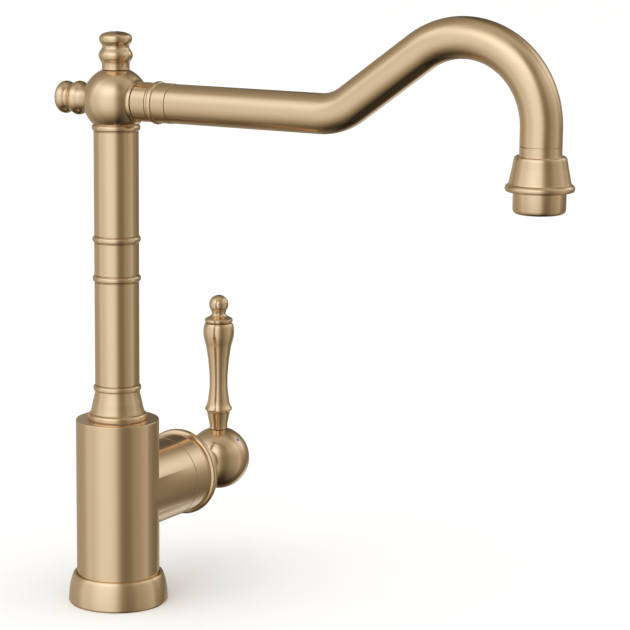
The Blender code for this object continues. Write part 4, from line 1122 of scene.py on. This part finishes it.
@dataclass
class Spout:
    """The union at the ball and the swan neck."""

    hole: float = 8.7
    boss_radius: float = 11.55
    ferrule_radius: float = 11.7
    bead_start: float = 1.3
    bead_end: float = 4.5
    bead_proud: float = 0.95
    tube_radius: float = 11.45
    wall: float = 1.5
    straight: float = 139.4
    bend: float = 33.5
    rise_angle: float = math.radians(35.9)
    rise_length: float = 52.5
    arch: float = 46.0

    def build(self, centre: Place) -> None:
        """Makes the sleeve, the ferrule and the tube.

        Args:
            centre: the head ball's centre.
        """
        end, start = (-y for y in span("spout_sleeve", 1))
        shape = Outline().to(self.hole, end).to(self.boss_radius, end, 0.2)
        shape.to(self.boss_radius, start, 0.3).to(self.hole, start).close()
        gilded("union_sleeve", shape, "spout", "spout_sleeve", centre, Facing.ALONG_MINUS_Y)
        end, start = (-y for y in span("spout_ferrule", 1))
        low, high = start + self.bead_start, start + self.bead_end
        shape = Outline().to(self.hole, end).to(self.ferrule_radius, end, 0.35)
        shape.to(self.ferrule_radius, high + 0.3, 0.2).to(self.ferrule_radius - 0.2, high)
        shape.bead(self.ferrule_radius - 0.1, low, high, self.bead_proud, 0.8, 16)
        shape.to(self.ferrule_radius - 0.2, low)
        shape.to(self.ferrule_radius - 0.1, low - 0.3, 0.1)
        shape.to(self.ferrule_radius - 0.1, start, 0.25).to(self.hole, start).close()
        gilded("union_ferrule", shape, "spout", "spout_ferrule", centre, Facing.ALONG_MINUS_Y)
        self._tube(centre[2])

    def _tube(self, height: float) -> None:
        """The bent tube: a ring drawn out and spun round each bend's centre.

        Args:
            height: the straight stretch's height.
        """
        far, near = span("spout_tube", 1)
        end = span("spout_tube", 2)[0] + SEAM_RISE
        deselect()
        bpy.ops.mesh.primitive_circle_add(
            vertices=96, radius=self.tube_radius * MM, location=metres(0, near, height),
            rotation=(math.pi / 2, 0, 0),
        )
        tube = bpy.context.object
        tube.name = tube.data.name = "swan_neck"
        bpy.ops.object.transform_apply(location=True, rotation=True, scale=True)
        bpy.ops.object.mode_set(mode="EDIT")
        bpy.ops.mesh.select_all(action="SELECT")
        self._draw_out((0, -self.straight - near, 0), 24)
        bpy.ops.mesh.spin(
            steps=24, angle=self.rise_angle, axis=(1, 0, 0),
            center=metres(0, -self.straight, height + self.bend),
        )
        rise = (0, -math.cos(self.rise_angle), math.sin(self.rise_angle))
        self._draw_out(tuple(self.rise_length * a for a in rise), 12)
        middle_y = far + self.tube_radius + self.arch
        crest = height + self.bend * (1 - math.cos(self.rise_angle)) + self.rise_length * rise[2]
        centre_z = crest - self.arch * math.cos(self.rise_angle)
        bpy.ops.mesh.spin(
            steps=72, angle=-self.rise_angle - math.pi / 2, axis=(1, 0, 0),
            center=metres(0, middle_y, centre_z),
        )
        self._draw_out((0, 0, end - centre_z), 4)
        bpy.ops.object.mode_set(mode="OBJECT")
        tidy_mesh(tube)
        face = tube.data.polygons[0]
        if face.normal.dot(face.center - Vector(metres(0, near, height))) < 0:
            bpy.ops.object.mode_set(mode="EDIT")
            bpy.ops.mesh.flip_normals()
            bpy.ops.object.mode_set(mode="OBJECT")
        shell = tube.modifiers.new("wall", "SOLIDIFY")
        shell.thickness = self.wall * MM
        shell.offset = -1
        bpy.ops.object.modifier_apply(modifier=shell.name)
        self._mark_path(tube, height, middle_y, centre_z)
        hand_in(tube, gold(Grain.ROUND_PATH), "spout", "spout_tube")

    @staticmethod
    def _draw_out(way: Place, steps: int) -> None:
        """Extrudes the selected ring in equal steps.

        Args:
            way: the whole way.
            steps: the number of steps.
        """
        step = metres(*(part / steps for part in way))
        for _ in range(steps):
            bpy.ops.mesh.extrude_region_move(TRANSFORM_OT_translate={"value": step})

    def _mark_path(self, tube: Piece, height: float, middle_y: float, centre_z: float) -> None:
        """Writes how far along the tube each point lies, for the hair lines.

        Args:
            tube: the tube.
            height: the straight stretch's height.
            middle_y: the arch centre's place along Y.
            centre_z: the arch centre's height.
        """
        along = tube.data.attributes.new("along", "FLOAT", "POINT")
        second = self.straight + self.bend * self.rise_angle
        third = second + self.rise_length
        fourth = third + self.arch * (self.rise_angle + math.pi / 2)
        rise = Vector((-math.cos(self.rise_angle), math.sin(self.rise_angle)))
        start = Vector((
            -self.straight - self.bend * math.sin(self.rise_angle),
            height + self.bend * (1 - math.cos(self.rise_angle)),
        ))
        for vertex, value in zip(tube.data.vertices, along.data):
            y, z = vertex.co.y / MM, vertex.co.z / MM
            low_turn = math.atan2(-self.straight - y, height + self.bend - z)
            high_turn = math.atan2(middle_y - y, z - centre_z)
            if y > -self.straight:
                way = -y
            elif low_turn < self.rise_angle:
                way = self.straight + self.bend * low_turn
            elif high_turn > math.pi / 2 or z < centre_z and y < middle_y:
                way = fourth + centre_z - z
            elif high_turn > -self.rise_angle:
                way = third + self.arch * (high_turn + self.rise_angle)
            else:
                way = second + rise.dot(Vector((y, z)) - start)
            value.value = way * MM


@dataclass
class Outlet:
    """The bell at the spout's end, and the aerator in it."""

    tube_radius: float = 11.45
    joint: float = 9.65
    water_bore: float = 7.95
    thread: float = 12.55
    thread_top: float = 9.9
    thread_turns: int = 9
    nozzle_radius: float = 14.3
    nozzle_bore: float = 10.95
    lip: float = 10.05

    def build(self, reach: float) -> None:
        """Makes the bell and the aerator's housing.

        Args:
            reach: how far the outlet's axis is from the column's.
        """
        place = (0, -reach, 0)
        low, high = span("outlet_bell", 2)
        top = span("spout_tube", 2)[0] - FIT + SEAM_RISE
        bell_top = top - 5.0
        foot = bell_top - 14.6
        bead = foot - 2.5
        low += 2.1
        shape = Outline().to(self.water_bore, high).to(self.joint, high, 0.3)
        shape.to(self.joint, top).to(self.tube_radius, top, 0.2)
        shape.to(self.tube_radius, bell_top + 0.5).to(self.tube_radius + 0.1, bell_top)
        shape.to(13.2, bell_top, 0.3)
        shape.curve([
            (13.95, bell_top - 0.7), (14.35, bell_top - 1.9),
            (14.65, bell_top - 3.6), (15.1, bell_top - 6.2),
            (15.65, bell_top - 8.9), (16.2, bell_top - 11.6),
            (16.75, foot + 0.4),
        ])
        shape.to(16.95, foot - 0.15).curve([
            (17.7, foot - 0.6), (18.5, bead + 1.0), (18.75, bead + 0.1),
            (18.6, bead - 0.8), (18.0, bead - 1.5), (17.0, low + 0.1),
            (16.2, low),
        ])
        thread = self.thread + FIT
        ceiling = span("aerator_housing", 2)[1] + FIT
        shape.to(thread, low).to(thread, ceiling).to(self.water_bore, ceiling).close()
        gilded("outlet_cone", shape, "spout", "outlet_bell", place)
        low, high = span("aerator_housing", 2)
        step = high - self.thread_top
        shape = Outline().to(self.nozzle_bore, high).to(self.thread, high, 0.3)
        for turn in range(self.thread_turns):
            crest = high - 0.9 - turn
            shape.to(self.thread, crest).to(self.thread - 0.45, crest - 0.5)
        shape.to(self.thread, step).to(self.nozzle_radius, step, 0.3)
        shape.to(self.nozzle_radius, low + 2.4)
        shape.curve([(13.95, low + 1.35), (13.35, low + 0.55), (12.5, low + 0.12), (11.6, low)])
        shape.to(self.lip, low, 0.15).to(self.lip, low + 1.0)
        shape.to(self.nozzle_bore, low + 1.0).close()
        gilded("aerator_shell", shape, "spout", "aerator_housing", place)


@dataclass
class InnerParts:
    """The frame's own pieces that keep their shape and get a finish."""

    finishes: tuple[tuple[Finish, tuple[str, ...]], ...] = (
        (RAW_BRASS, (
            "waterway_core", "cartridge_seat", "hot_inlet_bush", "cold_inlet_bush", "fixing_nut",
            "retaining_nut", "spout_nipple", "cartridge_stem",
        )),
        (ZINC, (
            "fixing_stud", "horseshoe_washer", "swivel_grub_screw", "pivot_pin",
            "handle_set_screw", "lever_rod", "aerator_screen",
        )),
        (RUBBER, (
            "base_gasket", "horseshoe_gasket", "port_gasket", "lower_o_ring", "upper_o_ring",
            "aerator_gasket",
        )),
        (ACETAL, (
            "glide_ring", "cartridge_housing", "slide_block", "stem_carrier", "water_riser",
            "aerator_insert", "set_screw_plug",
        )),
        (ALUMINA, ("fixed_disc", "moving_disc")),
    )

    def dress(self, nodes: dict[str, Piece]) -> None:
        """Gives each piece its finish.

        Args:
            nodes: the frame's nodes by name.
        """
        for finish, names in self.finishes:
            for name in names:
                nodes[name].material_slots[0].material = finish.material()
                LOG.info("%s dressed in %s", name, finish.name)


# Studio


@dataclass
class Studio:
    """The floor, the light and the camera. The eye and the floor are in metres."""

    eye: tuple[float, float, float] = (-1.135457, -0.800684, 0.430640)
    heading: float = -59.5837
    pitch: float = -10.3707
    roll: float = -0.5733
    lens: float = 134.755
    floor_radius: float = 14.0
    sensor: float = 36.0
    clip: Point = (0.05, 60.0)
    overhead_strength: float = 2.3
    overhead_spread: float = 150.0
    overhead_lean: Point = (-3.0, -4.0)
    sky_light: float = 0.55
    behind_cut: float = 0.70
    shade_level: float = 0.25
    shade_colour: tuple[float, float, float] = (1.0, 0.88, 0.66)
    bright_colour: tuple[float, float, float] = (1.0, 1.03, 1.07)
    round_light: tuple[Point, ...] = (
        (-180, 0.44), (-130, 0.46), (-108, 0.50), (-90, 0.76), (-74, 0.74), (-58, 0.86),
        (-46, 0.95), (-34, 0.96), (-20, 0.93), (-8, 0.82), (2, 0.50), (10, 0.29), (22, 0.22),
        (34, 0.26), (46, 0.38), (60, 0.42), (74, 0.50), (88, 0.58), (98, 0.34), (125, 0.19),
        (180, 0.19),
    )
    upright_light: tuple[Point, ...] = (
        (-90, 0.06), (-70, 0.14), (-50, 0.46), (-30, 0.84), (-10, 1.03), (10, 1.10), (34, 1.48),
        (55, 1.15), (90, 0.7),
    )
    panels: tuple[tuple[Sequence[float], float, float], ...] = (
        ((0.80, -0.36, 0.40), 16.0, 0.78), ((0.85, 0.10, -0.50), 40.0, 0.75),
    )
    sky_share: tuple[Point, ...] = ((-90, 0.0), (45, 0.0), (75, 1.0), (90, 1.0))

    def build(self) -> None:
        """Sets up the whole studio."""
        self._floor()
        self._surroundings()
        self._overhead()
        self._camera()
        bpy.context.scene.view_settings.view_transform = "Standard"

    def _floor(self) -> None:
        """A wide pale floor."""
        deselect()
        bpy.ops.mesh.primitive_circle_add(vertices=96, radius=self.floor_radius, fill_type="NGON")
        floor = bpy.context.object
        floor.name = "floor"
        floor.data.materials.append(FLOOR.material())
        floor.visible_glossy = False

    def _surroundings(self) -> None:
        """The light that the studio sends from each direction."""
        world = bpy.data.worlds.new("studio")
        bpy.context.scene.world = world
        world.use_nodes = True
        graph = Graph(world.node_tree)
        way = graph.node("ShaderNodeTexCoord").outputs["Generated"]
        parts = graph.node("ShaderNodeSeparateXYZ", None, {0: way}).outputs
        x, y, z = (Signal(graph, part) for part in parts)
        front = Vector(self.eye[:2]).normalized()
        turn = (x * -front.y + y * front.x).against(x * front.x + y * front.y)
        turn = 0.5 + turn / (2 * math.pi)
        rise = z.arcsine() / math.pi + 0.5
        ring = self._profile(graph, turn, self.round_light, 360, -180)
        level = self._profile(graph, rise, self.upright_light, 180, -90)
        sky = self._profile(graph, rise, self.sky_share, 180, -90)
        behind = (x * -front.x + y * -front.y).most(0.0) * (z * 2.0).most(0.0).least(1.0)
        strength = ring * level * (1.0 - sky) + sky * self.sky_light
        strength = strength * (1.0 - behind * self.behind_cut)
        for towards, sharpness, gain in self.panels:
            panel = Vector(towards).normalized()
            facing = (x * panel.x + y * panel.y + z * panel.z).most(0.0)
            strength = strength + facing**sharpness * gain
        tint = ((strength - self.shade_level) / (1 - self.shade_level)).most(0.0).least(1.0)
        colour = graph.blend(tint, self.shade_colour, self.bright_colour)
        shade = graph.node("ShaderNodeBackground", None, {"Color": colour, "Strength": strength})
        graph.node("ShaderNodeOutputWorld", None, {"Surface": shade.outputs[0]})

    @staticmethod
    def _profile(
        graph: Graph, share: Signal, levels: Sequence[Point], width: float, first: float
    ) -> Signal:
        """A strength that follows an angle.

        Args:
            graph: the world's graph.
            share: the angle, as a share of its whole range.
            levels: (angle in degrees, strength) pairs.
            width: the whole range in degrees.
            first: the range's lowest angle.

        Returns:
            The strength.
        """
        stops = [((angle - first) / width, (level / 2,) * 3) for angle, level in levels]
        node = graph.node("ShaderNodeValToRGB", {"stops": stops}, {0: share})
        return Signal(graph, node.outputs[0]) * 2.0

    def _overhead(self) -> None:
        """A broad soft light on the floor."""
        data = bpy.data.lights.new("overhead", "SUN")
        data.energy = self.overhead_strength
        data.angle = math.radians(self.overhead_spread)
        lamp = bpy.data.objects.new("overhead", data)
        lamp.rotation_euler = (*(math.radians(lean) for lean in self.overhead_lean), 0.0)
        lamp.visible_glossy = False
        bpy.context.scene.collection.objects.link(lamp)

    def _camera(self) -> None:
        """The camera, level but for a slight roll."""
        data = bpy.data.cameras.new("camera")
        data.lens = self.lens
        data.sensor_width = self.sensor
        data.clip_start, data.clip_end = self.clip
        camera = bpy.data.objects.new("camera", data)
        camera.location = self.eye
        camera.rotation_mode = "XYZ"
        turns = (90 + self.pitch, self.roll, self.heading)
        camera.rotation_euler = [math.radians(turn) for turn in turns]
        bpy.context.scene.collection.objects.link(camera)
        bpy.context.scene.camera = camera


def main() -> None:
    """Builds the mixer round the frame."""
    logging.basicConfig(level=logging.INFO, format="%(message)s")
    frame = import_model()
    lift = next(joint for joint in frame["joints"] if joint["name"] == "handle_lift")
    pivot, _, handle_height = (part / MM for part in lift["pos_m"])
    ball_x = span("handle_ball", 0)[1] - Handle().ball_radius
    head = (0.0, 0.0, halfway("spout_ferrule", 2))
    Foot().build()
    Body().build(handle_height)
    HandleHousing().build(handle_height, pivot)
    Handle().build(handle_height, pivot, ball_x)
    Column().build()
    Head().build(head)
    Spout().build(head)
    Outlet().build(-halfway("aerator_housing", 1))
    InnerParts().dress(frame["nodes"])
    Studio().build()
    deselect()


if __name__ == "__main__":
    main()
